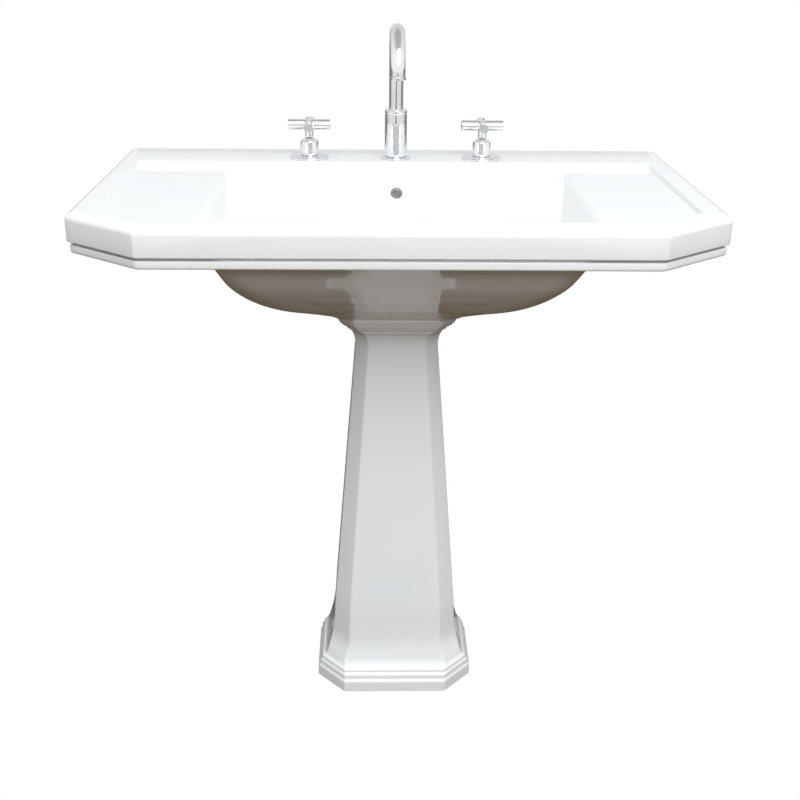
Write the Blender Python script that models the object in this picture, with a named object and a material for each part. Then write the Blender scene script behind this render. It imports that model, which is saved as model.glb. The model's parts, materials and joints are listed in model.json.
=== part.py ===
"""Pedestal sink: china basin on a half-octagon pedestal, with a swivel spout, two cross-handle valves,
a sprung waste plug and a bottle trap. Metres, +Z up, floor at z = 0, origin under the middle of the basin."""

import math

import bmesh
import bpy
from mathutils import Matrix, Vector

GAP = 0.0003            # between pieces that touch
FINE = 20               # sides of a round piece in sight
COARSE = 14             # sides of a round piece out of sight
HEX = 12                # points round a nut: two to a side

# Basin, outside
BASIN_WIDTH = 0.900
BASIN_DEPTH = 0.550
RIM_HEIGHT = 0.850
CORNER_X = 0.105        # clipped front corner, along the front
CORNER_Y = 0.082        # and along the side
CORNER_RADIUS = 0.007   # upright edges
LIP_RADIUS = 0.011
APRON_HEIGHT = 0.040    # rim down to the groove
GROOVE_HEIGHT = 0.0045
GROOVE_DEPTH = 0.012
BAND_HEIGHT = 0.0115
BAND_INSET = 0.0035
CHINA_WALL = 0.012
WALL_STAND_OFF = 0.0005  # the apron's back stands this far in front of the rear rail's

# Basin, top
SIDE_RIM = 0.035
FRONT_RIM = 0.045
DECK_SINK = 0.008
DECK_THICK = 0.012
LEDGE_DEPTH = 0.115
COVE = 0.010
BOWL_HALF = BASIN_WIDTH / 2 - 0.180
BOWL_FRONT = 0.050 - BASIN_DEPTH / 2
BOWL_REAR = BASIN_DEPTH / 2 - 0.145
BOWL_DEPTH = 0.158      # deck down to the waste's seat
BOWL_CORNER = 0.014
BOWL_SKIN = 0.010

# Basin, underneath
SHELL_HALF = BOWL_HALF + 0.012
SHELL_REAR = BASIN_DEPTH / 2 - 0.125
SEAT_THICK = 0.0275     # china under the waste's flange
WEB_HALF = 0.040        # middle web that holds the overflow passage
RAIL_HALF = BASIN_WIDTH / 2 - 0.210
RAIL_DROP = 0.105       # rear rail below the rim
RAIL_THICK = 0.016
WALL_HOLE_X = 0.140
WALL_HOLE_DROP = 0.078
WALL_HOLE_RADIUS = 0.007

# Overflow
OVERFLOW_RADIUS = 0.0095
OVERFLOW_DROP = 0.0385
OVERFLOW_TILT = 34      # degrees below level, square to the bowl's rear wall
PASSAGE_RADIUS = 0.0055
PASSAGE_OFFSET = 0.020  # behind the bowl's rear wall

# Pedestal: fronts and back are measured from the waste's axis
PED_BACK = 0.062
PED_WALL = 0.011
PED_FOOT_HALF = 0.131
PED_FOOT_FRONT = 0.104
PED_FOOT_CUT = 0.046
PED_FLANGE = 0.030      # floor flange inside the foot
PED_FLANGE_THICK = 0.012
PED_HOLE_RADIUS = 0.0045
PED_NECK_HALF = 0.0645
PED_NECK_FRONT = 0.0455
PED_CAP_HALF = 0.0935
PED_CAP_FRONT = 0.0730
PED_CAP_HEIGHT = 0.055  # neck to the top
CUT_SLANT = 1.10        # a clipped corner's depth for its width

# Taps
TAP_LINE = BASIN_DEPTH / 2 - 0.076  # y of the three tap holes
TAP_SPACING = 0.284
THREAD_RADIUS = 0.013
TAP_HOLE_RADIUS = THREAD_RADIUS + 0.002
BACKNUT_HALF = 0.0190   # half across the flats
BACKNUT_THICK = 0.008
WASHER_RADIUS = 0.0210
WASHER_THICK = 0.003
TAIL_RADIUS = 0.0103
TAIL_DROP = 0.110       # rim down to a valve's inlet
PORT_RADIUS = 0.008
PORT_BORE = 0.005
PORT_REACH = 0.030      # side port's end from a valve's axis
TEE_REACH = 0.026
PORT_DROP = 0.055

PLATE_RADIUS = 0.0315
PLATE_THICK = 0.0042
BONNET_RADIUS = THREAD_RADIUS + 0.0015
BONNET_TOP = 0.032      # above the rim
SPINDLE_RADIUS = 0.004
STEM_RADIUS = 0.0065
BAR_RADIUS = 0.00825
REACH_BAR_RADIUS = 0.0080  # the bar that points at the user
BAR_LENGTH = 0.068
BAR_HEIGHT = 0.054      # bar centre above the rim
CARTRIDGE_RADIUS = 0.009

SPOUT_PLATE_RADIUS = 0.024
SPOUT_PLATE_THICK = 0.0035
SPOUT_BODY_RADIUS = 0.018
SPOUT_BODY_TOP = 0.079
SPOUT_RADIUS = 0.0115
SPOUT_WALL = 0.002
SPOUT_BEND = 0.057
SPOUT_RISE = 0.1485     # bend centre above the rim
SPOUT_DROP = 0.0035     # outlet below the bend centre
AERATOR_LENGTH = 0.005
RING_THICK = 0.0015
HOSE_RADIUS = 0.006
HOSE_SAG = 0.003
LINK_NUT_HALF = 0.011
LINK_NUT_LENGTH = 0.018

# Waste and trap
WASTE_Y = BOWL_REAR - 0.122
WASTE_RADIUS = 0.021
WASTE_BORE = WASTE_RADIUS - 0.0035
WASTE_FLANGE_RADIUS = 0.032
WASTE_LENGTH = 0.110
WASTE_NUT_HALF = 0.026
PLUG_RADIUS = 0.0285
PLUG_LIFT = 0.008
TRAP_RADIUS = 0.027
TRAP_TOP = 0.590
TRAP_LENGTH = 0.080
CUP_RADIUS = 0.030
CUP_LENGTH = 0.066
TRAP_NUT_HALF = 0.0265
TRAP_NUT_LENGTH = 0.018
OUTLET_RADIUS = 0.016
OUTLET_DROP = 0.040     # outlet axis below the trap's top
OUTLET_SOCKET = 0.018   # its socket's length
ROSE_RADIUS = 0.034

FINISHES = {
    "china": ((0.86, 0.88, 0.88), 0.10, 0.0),
    "chrome": ((0.83, 0.84, 0.86), 0.07, 1.0),
    "brass": ((0.72, 0.55, 0.27), 0.30, 1.0),
    "rubber": ((0.03, 0.03, 0.03), 0.75, 0.0),
    "braid": ((0.55, 0.56, 0.58), 0.35, 1.0),
    "screw_steel": ((0.45, 0.46, 0.48), 0.35, 1.0),
    "trap_plastic": ((0.88, 0.88, 0.87), 0.35, 0.0),
    "aerator_plastic": ((0.20, 0.21, 0.22), 0.50, 0.0),
    "cartridge_plastic": ((0.80, 0.79, 0.74), 0.45, 0.0),
}


# Making and joining

def remove_everything():
    for obj in list(bpy.data.objects):
        bpy.data.objects.remove(obj, do_unlink=True)


def finish_material(finish):
    found = bpy.data.materials.get(finish)
    if found:
        return found
    colour, roughness, metallic = FINISHES[finish]
    made = bpy.data.materials.new(finish)
    made.use_nodes = True
    shader = made.node_tree.nodes["Principled BSDF"]
    shader.inputs["Base Color"].default_value = (*colour, 1.0)
    shader.inputs["Roughness"].default_value = roughness
    shader.inputs["Metallic"].default_value = metallic
    return made


def piece(name, bm, finish, place=(0, 0, 0), turn=(0, 0, 0)):
    """The bmesh as a named object, smooth where it is round."""
    bmesh.ops.recalc_face_normals(bm, faces=bm.faces)
    mesh = bpy.data.meshes.new(name)
    bm.to_mesh(mesh)
    bm.free()
    mesh.shade_smooth()
    mesh.set_sharp_from_angle(angle=math.radians(32))
    mesh.materials.append(finish_material(finish))
    obj = bpy.data.objects.new(name, mesh)
    bpy.context.collection.objects.link(obj)
    obj.location = place
    obj.rotation_euler = turn
    return obj


def combine(obj, tool, operation="DIFFERENCE", solver="EXACT"):
    """Cuts the tool from the object, or joins it on, and hides the tool."""
    modifier = obj.modifiers.new(operation.title(), "BOOLEAN")
    modifier.operation = operation
    modifier.solver = solver
    modifier.object = tool
    tool.hide_render = True
    tool.display_type = "WIRE"
    return obj


def loft(rings, around=False):
    """A skin through rings of equal length: capped at both ends, or closed round from last to first."""
    bm = bmesh.new()
    rows = [[bm.verts.new(point) for point in ring] for ring in rings]
    count = len(rows[0])
    pairs = list(zip(rows, rows[1:]))
    if around:
        pairs.append((rows[-1], rows[0]))
    else:
        bm.faces.new(rows[0])
        bm.faces.new(rows[-1])
    for low, high in pairs:
        for i in range(count):
            j = (i + 1) % count
            bm.faces.new((low[i], low[j], high[j], high[i]))
    return bm


def spun(profile, sides, hollow=False):
    """A profile of (radius, height) turned about Z. A solid one starts and ends on the axis."""
    bm = bmesh.new()
    verts = [bm.verts.new((radius, 0, height)) for radius, height in profile]
    edges = [bm.edges.new(pair) for pair in zip(verts, verts[1:])]
    if hollow:
        edges.append(bm.edges.new((verts[-1], verts[0])))
    bmesh.ops.spin(bm, geom=verts + edges, cent=(0, 0, 0), axis=(0, 0, 1), angle=math.tau,
                   steps=sides, use_merge=True)
    bmesh.ops.remove_doubles(bm, verts=bm.verts, dist=1e-6)
    return bm


def clear_of(radius, sides):
    """The corner radius of a bore with so many sides whose flats are this far out."""
    return radius / math.cos(math.pi / sides)


def rod(radius, low, high, sides=COARSE):
    return spun([(0, low), (radius, low), (radius, high), (0, high)], sides)


def tube(inner, outer, low, high, sides=COARSE):
    inner = clear_of(inner, sides)
    return spun([(inner, low), (outer, low), (outer, high), (inner, high)], sides, hollow=True)


def box(low, high):
    bm = bmesh.new()
    bmesh.ops.create_cube(bm, size=1.0)
    size = Vector(high) - Vector(low)
    middle = (Vector(high) + Vector(low)) / 2
    bmesh.ops.transform(bm, matrix=Matrix.Translation(middle) @ Matrix.Diagonal((*size, 1)), verts=bm.verts)
    return bm


def nut(half_flats, bore, low, high):
    """A six-sided nut with a round bore."""
    chamfer = (high - low) * 0.12
    rows = []
    for radius_scale, height in ((0.97, low), (1.0, low + chamfer), (1.0, high - chamfer), (0.97, high)):
        ring = []
        for i in range(HEX):
            angle = math.tau * i / HEX
            off_flat = (angle + math.pi / 6) % (math.pi / 3) - math.pi / 6
            radius = radius_scale * half_flats / math.cos(off_flat)
            ring.append((radius * math.cos(angle), radius * math.sin(angle), height))
        rows.append(ring)
    bore = clear_of(bore, HEX)
    for height in (high, low):
        rows.append([(bore * math.cos(math.tau * i / HEX), bore * math.sin(math.tau * i / HEX), height)
                     for i in range(HEX)])
    return loft(rows, around=True)


def swept_ring(point, tangent, side, radius, sides):
    across = tangent.cross(side).normalized()
    return [point + radius * (math.cos(a) * side + math.sin(a) * across)
            for a in (math.tau * i / sides for i in range(sides))]


def swept(path, radii, side, sides, bores=None):
    """A pipe along a flat path. The side vector is the path's normal; bores make it hollow."""
    path = [Vector(point) for point in path]
    ends = [path[0]] + path + [path[-1]]
    tangents = [(after - before).normalized() for before, after in zip(ends, ends[2:])]
    rings = [swept_ring(p, t, side, r, sides) for p, t, r in zip(path, tangents, radii)]
    if bores is None:
        return loft(rings)
    inner = [swept_ring(p, t, side, r, sides) for p, t, r in zip(path, tangents, bores)]
    return loft(rings + inner[::-1], around=True)


def rounded(corners, radii, steps):
    """A closed outline with each corner rounded, as flat points."""
    corners = [Vector((x, y, 0)) for x, y in corners]
    points = []
    for i, here in enumerate(corners):
        back = (corners[i - 1] - here).normalized()
        ahead = (corners[(i + 1) % len(corners)] - here).normalized()
        half = back.angle(ahead) / 2
        run = radii[i] / math.tan(half)
        centre = here + (back + ahead).normalized() * radii[i] / math.sin(half)
        first = here + back * run - centre
        last = here + ahead * run - centre
        for step in range(steps + 1):
            blend = first.normalized().slerp(last.normalized(), step / steps)
            points.append(centre + blend * radii[i])
    return points


def oblong(half, front, rear, radius, height, steps=4):
    corners = [(-half, front), (half, front), (half, rear), (-half, rear)]
    return [(p.x, p.y, height) for p in rounded(corners, [radius] * 4, steps)]


# Basin

def clipped_plan(side, front, rear, radius, height):
    """The basin's outline in plan, moved in by side and front, with its back edge at rear."""
    half = BASIN_WIDTH / 2 - side
    near = -BASIN_DEPTH / 2 + front
    slant = math.hypot(CORNER_X, CORNER_Y)
    inset = (side + front) / 2
    # The clipped corner is the line x / CORNER_X + y / CORNER_Y = const, moved in by the same amount.
    reach = (BASIN_WIDTH / 2 - CORNER_X) / CORNER_X + BASIN_DEPTH / 2 / CORNER_Y
    reach -= inset * slant / (CORNER_X * CORNER_Y)
    at_side = (reach - half / CORNER_X) * CORNER_Y
    at_front = (reach + near / CORNER_Y) * CORNER_X
    corners = [(-half, -at_side), (-at_front, near), (at_front, near), (half, -at_side),
               (half, rear), (-half, rear)]
    return [(p.x, p.y, height) for p in rounded(corners, [radius] * 4 + [radius / 2] * 2, 3)]


def apron_block():
    rear = BASIN_DEPTH / 2 - WALL_STAND_OFF
    groove_top = RIM_HEIGHT - APRON_HEIGHT
    groove_low = groove_top - GROOVE_HEIGHT
    band_low = groove_low - BAND_HEIGHT
    steps = [(0, groove_top), (GROOVE_DEPTH, groove_top - 0.0008), (GROOVE_DEPTH, groove_low + 0.0004),
             (BAND_INSET, groove_low), (BAND_INSET, band_low + 0.003), (BAND_INSET + 0.003, band_low)]
    rows = []
    for i in range(4):
        angle = math.pi / 2 * i / 3
        inset = LIP_RADIUS * (1 - math.sin(angle))
        height = RIM_HEIGHT - LIP_RADIUS * (1 - math.cos(angle))
        rows.append(clipped_plan(inset, inset, rear - inset * 0.3, CORNER_RADIUS, height))
    for inset, height in steps:
        rows.append(clipped_plan(inset, inset, rear, CORNER_RADIUS, height))
    return loft(rows)


def bowl_rows():
    """Half width, front, rear, corner radius and height of the bowl's inside, top to bottom."""
    deck = RIM_HEIGHT - DECK_SINK
    seat = deck - BOWL_DEPTH
    flat = WASTE_FLANGE_RADIUS + 0.004
    run = WASTE_Y - BOWL_FRONT
    outline = [(1.00, 0.0, 0.0, 0.0), (0.765, 0.056, 0.042, 0.39), (0.61, 0.202, 0.068, 0.68),
               (0.52, 0.399, 0.080, 0.87), (0.44, 0.536, 0.085, 0.96)]
    rows = [(BOWL_HALF, BOWL_FRONT, BOWL_REAR, BOWL_CORNER, deck + 0.02)]
    for width, ahead, behind, drop in outline:
        radius = BOWL_CORNER + 0.030 * drop
        rows.append((BOWL_HALF * width, BOWL_FRONT + run * ahead, BOWL_REAR - behind, radius,
                     deck - BOWL_DEPTH * drop))
    rows.append((BOWL_HALF * 0.36, BOWL_FRONT + run * 0.614, WASTE_Y + flat + 0.001, 0.045, seat + 0.001))
    rows.append((BOWL_HALF * 0.28, BOWL_FRONT + run * 0.678, WASTE_Y + flat, 0.040, seat))
    return rows


def shell_rows():
    """The same for the china under the deck."""
    low = RIM_HEIGHT - DECK_SINK - BOWL_DEPTH - SEAT_THICK
    skirt = CHINA_WALL - 0.003 - BASIN_DEPTH / 2
    run = WASTE_Y - skirt
    outline = [(1.00, 0.000, 0.000, 0.030, 0.1785), (0.904, 0.007, 0.000, 0.030, 0.1395),
               (0.895, 0.088, 0.000, 0.036, 0.1235), (0.867, 0.223, 0.000, 0.050, 0.0885),
               (0.837, 0.369, 0.002, 0.070, 0.0585), (0.812, 0.449, 0.004, 0.080, 0.0435),
               (0.759, 0.540, 0.015, 0.085, 0.0285), (0.674, 0.602, 0.025, 0.082, 0.0205),
               (0.525, 0.657, 0.040, 0.070, 0.0115), (0.422, 0.708, 0.060, 0.055, 0.0035),
               (0.380, 0.723, 0.072, 0.045, 0.0000)]
    return [(SHELL_HALF * width, skirt + run * ahead, SHELL_REAR - behind, radius, low + up)
            for width, ahead, behind, radius, up in outline]


def hollow_pockets(wall):
    """The open space between the bowl's skin and the outer shell, on both sides of the middle web."""
    ceiling = RIM_HEIGHT - DECK_SINK - DECK_THICK - 0.002
    rows = [(half - wall, front + wall, rear + 0.06, max(radius - wall, 0.02), min(height + wall, ceiling))
            for half, front, rear, radius, height in shell_rows()]
    pockets = piece("pocket_tool", loft([oblong(*row) for row in rows]), "china")
    skin = [(half + wall, front - wall, rear + wall, radius + wall, height - wall)
            for half, front, rear, radius, height in bowl_rows()]
    combine(pockets, piece("bowl_skin_tool", loft([oblong(*row) for row in skin]), "china"))
    web = box((-WEB_HALF, BOWL_FRONT, RIM_HEIGHT - 0.5), (WEB_HALF, BASIN_DEPTH / 2, RIM_HEIGHT + 0.1))
    return combine(pockets, piece("web_tool", web, "china"))


def rear_wall_at(height):
    """How far back the bowl's rear wall is at this height."""
    rows = bowl_rows()
    for (_, _, rear_high, _, high), (_, _, rear_low, _, low) in zip(rows, rows[1:]):
        if low <= height <= high:
            return rear_low + (rear_high - rear_low) * (height - low) / (high - low)
    return BOWL_REAR


def overflow_passage():
    """A bent pipe behind the bowl's rear wall, from the overflow hole down to the waste's bore."""
    seat = RIM_HEIGHT - DECK_SINK - BOWL_DEPTH
    slot = seat - SEAT_THICK * 0.5
    top = RIM_HEIGHT - OVERFLOW_DROP - 0.004
    path = []
    for i in range(5):
        height = top + (seat + 0.004 - top) * i / 4
        path.append((0, rear_wall_at(height) + PASSAGE_OFFSET, height))
    path.append((0, path[-1][1] - 0.006, slot + 0.003))
    path.append((0, path[-1][1] - 0.008, slot))
    path.append((0, WASTE_Y + WASTE_RADIUS - 0.003, slot))
    return swept(path, [PASSAGE_RADIUS] * len(path), Vector((1, 0, 0)), 12)


def make_basin():
    deck = RIM_HEIGHT - DECK_SINK
    under = deck - DECK_THICK
    rear = BASIN_DEPTH / 2
    basin = piece("basin", apron_block(), "china")

    wall = CHINA_WALL + BAND_INSET
    inner = [clipped_plan(wall, wall, rear - RAIL_THICK, 0.004, height)
             for height in (RIM_HEIGHT - 0.2, under)]
    combine(basin, piece("underside_tool", loft(inner), "china"))
    shell = loft([oblong(*row) for row in shell_rows()])
    combine(basin, piece("shell_tool", shell, "china"), "UNION")
    rail = box((-RAIL_HALF, rear - RAIL_THICK - 0.0004, RIM_HEIGHT - RAIL_DROP),
               (RAIL_HALF, rear, under + 0.004))
    combine(basin, piece("rail_tool", rail, "china"), "UNION")
    combine(basin, hollow_pockets(BOWL_SKIN))
    combine(basin, piece("bowl_tool", loft([oblong(*row) for row in bowl_rows()]), "china"))

    recess = []
    for i in range(4):
        angle = math.pi / 2 * i / 3
        inset = COVE * (1 - math.sin(angle))
        height = deck + DECK_SINK * (1 - math.cos(angle))
        recess.append((inset, height))
    recess.append((0, RIM_HEIGHT + 0.02))
    recess = [clipped_plan(SIDE_RIM + inset, FRONT_RIM + inset, rear - LEDGE_DEPTH - inset, 0.012, height)
              for inset, height in recess]
    combine(basin, piece("recess_tool", loft(recess), "china"))

    for name, x in (("hot", -TAP_SPACING / 2), ("middle", 0), ("cold", TAP_SPACING / 2)):
        hole = rod(TAP_HOLE_RADIUS, RIM_HEIGHT - 0.06, RIM_HEIGHT + 0.02, FINE)
        combine(basin, piece(f"{name}_hole_tool", hole, "china", (x, TAP_LINE, 0)))
    waste = rod(WASTE_RADIUS + 0.0015, RIM_HEIGHT - 0.25, deck - 0.1, FINE)
    combine(basin, piece("waste_hole_tool", waste, "china", (0, WASTE_Y, 0)))
    height = RIM_HEIGHT - OVERFLOW_DROP
    hole = rod(OVERFLOW_RADIUS, -0.020, PASSAGE_OFFSET + 0.002, 20)
    combine(basin, piece("overflow_tool", hole, "china", (0, rear_wall_at(height), height),
                         (math.radians(-90 - OVERFLOW_TILT), 0, 0)))
    combine(basin, piece("passage_tool", overflow_passage(), "china"))
    for name, x in (("left", -WALL_HOLE_X), ("right", WALL_HOLE_X)):
        hole = rod(WALL_HOLE_RADIUS, -0.04, 0.04)
        combine(basin, piece(f"{name}_wall_hole_tool", hole, "china", (x, rear, RIM_HEIGHT - WALL_HOLE_DROP),
                             (math.pi / 2, 0, 0)))


# Pedestal

def pedestal_top():
    return RIM_HEIGHT - DECK_SINK - BOWL_DEPTH - SEAT_THICK - GAP


def pedestal_rows():
    """Half width, front, corner cut and height, floor to top."""
    top = pedestal_top()
    neck = top - PED_CAP_HEIGHT
    foot = [(0.000, 0.000), (0.000, 0.019), (0.003, 0.0225), (0.0035, 0.030), (0.007, 0.034),
            (0.007, 0.038), (0.013, 0.043), (0.0165, 0.050)]
    rows = [(PED_FOOT_HALF - inset, PED_FOOT_FRONT - inset, PED_FOOT_CUT - inset, height)
            for inset, height in foot]
    half, front, cut = PED_FOOT_HALF - 0.030, PED_FOOT_FRONT - 0.026, 0.026
    rows.append((half + 0.0060, front + 0.0030, cut + 0.004, 0.078))
    rows.append((half + 0.0015, front + 0.0008, cut + 0.001, 0.110))
    rows.append((half, front, cut, 0.140))
    for share in (0.25, 0.5, 0.75, 1.0):
        rows.append((half + (PED_NECK_HALF - half) * share, front + (PED_NECK_FRONT - front) * share,
                     cut - 0.006 * share, 0.140 + (neck - 0.140) * share))
    # a cove up from the neck, a small nosing, then a rounded slope out to the top edge
    profile = [(0.02, 0.0060), (0.06, 0.0125), (0.14, 0.0190), (0.26, 0.0245), (0.34, 0.0275), (0.42, 0.0285),
               (0.46, 0.0310), (0.64, 0.0350), (0.80, 0.0405), (0.92, 0.0470), (1.00, 0.0530), (0.97, 0.0550)]
    for grow, up in profile:
        rows.append((PED_NECK_HALF + (PED_CAP_HALF - PED_NECK_HALF) * grow,
                     PED_NECK_FRONT + (PED_CAP_FRONT - PED_NECK_FRONT) * grow, cut - 0.006 * (1 - grow),
                     neck + PED_CAP_HEIGHT * up / 0.055))
    return rows


def half_octagon(half, front, cut, height, back):
    side = cut * CUT_SLANT - front
    corners = [(half, back), (-half, back), (-half, side),
               (cut - half, -front), (half - cut, -front), (half, side)]
    return [(x, WASTE_Y + y, height) for x, y in corners]


def make_pedestal():
    rows = pedestal_rows()
    pedestal = piece("pedestal", loft([half_octagon(*row, PED_BACK) for row in rows]), "china")
    inside = [(half - PED_WALL, front - PED_WALL, cut - PED_WALL * 0.5, height)
              for half, front, cut, height in rows[8:]]
    half, front, cut, _ = inside[0]
    first = PED_FLANGE_THICK
    inside = [(half, front, cut, first)] + inside + [(*inside[-1][:3], inside[-1][3] + 0.02)]
    hollow = loft([half_octagon(*row, PED_BACK + 0.02) for row in inside])
    combine(pedestal, piece("hollow_tool", hollow, "china"))
    flange = [(half + 0.012 - PED_FLANGE, front + 0.012 - PED_FLANGE, cut - 0.006, height)
              for height in (-0.02, PED_FLANGE_THICK + 0.002)]
    foot_hole = loft([half_octagon(*row, PED_BACK + 0.02) for row in flange])
    combine(pedestal, piece("foot_tool", foot_hole, "china"))
    for name, x in (("left", -1), ("right", 1)):
        hole = rod(PED_HOLE_RADIUS, -0.02, PED_FLANGE_THICK + 0.02)
        at = (x * (half - 0.009), WASTE_Y + PED_BACK - 0.030, 0)
        combine(pedestal, piece(f"{name}_foot_hole_tool", hole, "china", at))


# Taps

def under_ledge():
    """Height of the tap ledge's underside."""
    return RIM_HEIGHT - DECK_SINK - DECK_THICK


def fixing_set(prefix, x):
    """The rubber washer and backnut that clamp one tap from below."""
    washer_top = under_ledge() - GAP
    nut_top = washer_top - WASHER_THICK - GAP
    place = (x, TAP_LINE, 0)
    bore = THREAD_RADIUS + GAP
    washer = tube(bore, WASHER_RADIUS, washer_top - WASHER_THICK, washer_top)
    piece(f"{prefix}_rubber_washer", washer, "rubber", place)
    backnut = nut(BACKNUT_HALF, bore, nut_top - BACKNUT_THICK, nut_top)
    piece(f"{prefix}_backnut", backnut, "brass", place)


def cover_plate(name, x, radius, thick):
    low = RIM_HEIGHT + GAP
    bore = THREAD_RADIUS + GAP
    profile = [(bore, low), (radius, low), (radius, low + thick * 0.45), (radius - 0.0016, low + thick * 0.85),
               (radius - 0.0040, low + thick), (bore, low + thick)]
    piece(name, spun(profile, FINE, hollow=True), "chrome", (x, TAP_LINE, 0))


def valve(prefix, x, inward):
    """One side valve. inward is the sign of X towards the spout."""
    place = (x, TAP_LINE, 0)
    plate_top = RIM_HEIGHT + GAP + PLATE_THICK
    body_top = RIM_HEIGHT + 0.024
    seat = RIM_HEIGHT - 0.019
    tail = RIM_HEIGHT - TAIL_DROP
    port = RIM_HEIGHT - PORT_DROP
    cover_plate(f"{prefix}_escutcheon", x, PLATE_RADIUS, PLATE_THICK)

    shoulder = port - PORT_RADIUS - 0.007
    profile = [(0.006, tail), (TAIL_RADIUS, tail), (TAIL_RADIUS, shoulder), (THREAD_RADIUS, shoulder),
               (THREAD_RADIUS, plate_top + 0.003), (THREAD_RADIUS - 0.0014, plate_top + 0.003),
               (THREAD_RADIUS - 0.0014, body_top), (CARTRIDGE_RADIUS + GAP, body_top),
               (CARTRIDGE_RADIUS + GAP, seat), (0.006, seat)]
    body = piece(f"{prefix}_valve_body", spun(profile, FINE, hollow=True), "brass", place)
    spigot = rod(PORT_RADIUS, 0.0095, PORT_REACH)
    turn = (0, inward * math.pi / 2, 0)
    combine(body, piece(f"{prefix}_port_tool", spigot, "brass", (x, TAP_LINE, port), turn), "UNION")
    bore = rod(PORT_BORE, 0.003, PORT_REACH + 0.01, 12)
    combine(body, piece(f"{prefix}_port_bore_tool", bore, "brass", (x, TAP_LINE, port), turn))

    low = seat + GAP
    high = body_top + 0.0020
    neck = SPINDLE_RADIUS + GAP
    profile = [(0.003, low), (CARTRIDGE_RADIUS, low), (CARTRIDGE_RADIUS, high), (neck, high),
               (neck, high - 0.012), (0.003, high - 0.012)]
    piece(f"{prefix}_cartridge", spun(profile, COARSE, hollow=True), "cartridge_plastic", place)

    low = plate_top + GAP
    high = RIM_HEIGHT + BONNET_TOP
    inner = THREAD_RADIUS + GAP
    profile = [(inner, low), (BONNET_RADIUS, low), (BONNET_RADIUS, high - 0.0045),
               (BONNET_RADIUS - 0.0015, high - 0.003), (BONNET_RADIUS - 0.0035, high - 0.003),
               (BONNET_RADIUS - 0.0060, high), (neck + 0.001, high), (neck + 0.001, high - 0.0048),
               (inner, high - 0.0048)]
    piece(f"{prefix}_bonnet", spun(profile, FINE, hollow=True), "chrome", place)

    bar = RIM_HEIGHT + BAR_HEIGHT
    spindle_top = bar - 0.004
    low = body_top + 0.0020 - 0.012 + GAP
    piece(f"{prefix}_spindle", rod(SPINDLE_RADIUS, low, spindle_top, 12), "brass", place)

    stem_low = high + 0.0015
    hub = piece(f"{prefix}_handle", rod(STEM_RADIUS, stem_low - bar, 0.004), "chrome", (x, TAP_LINE, bar))
    end = BAR_LENGTH / 2
    edge = 0.0012
    bars = (("cross", BAR_RADIUS, (0, math.pi / 2, 0)), ("reach", REACH_BAR_RADIUS, (math.pi / 2, 0, 0)))
    for name, radius, turn in bars:
        profile = [(0, -end), (radius - edge, -end), (radius, edge - end), (radius, end - edge),
                   (radius - edge, end), (0, end)]
        bar_tool = piece(f"{prefix}_{name}_bar_tool", spun(profile, FINE), "chrome", (x, TAP_LINE, bar), turn)
        combine(hub, bar_tool, "UNION")
    bore = rod(SPINDLE_RADIUS + GAP, stem_low - bar - 0.01, spindle_top + GAP - bar, 12)
    combine(hub, piece(f"{prefix}_hub_bore_tool", bore, "chrome", (x, TAP_LINE, bar)))
    screw_height = stem_low + 0.0055
    turn = (-math.pi / 2, 0, 0)
    bore = rod(0.0015 + GAP, 0.003, 0.012, 12)
    combine(hub, piece(f"{prefix}_screw_hole_tool", bore, "chrome", (x, TAP_LINE, screw_height), turn))
    screw = rod(0.0015, SPINDLE_RADIUS + GAP, STEM_RADIUS - GAP, 12)
    piece(f"{prefix}_grub_screw", screw, "screw_steel", (x, TAP_LINE, screw_height), turn)
    fixing_set(prefix, x)


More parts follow.
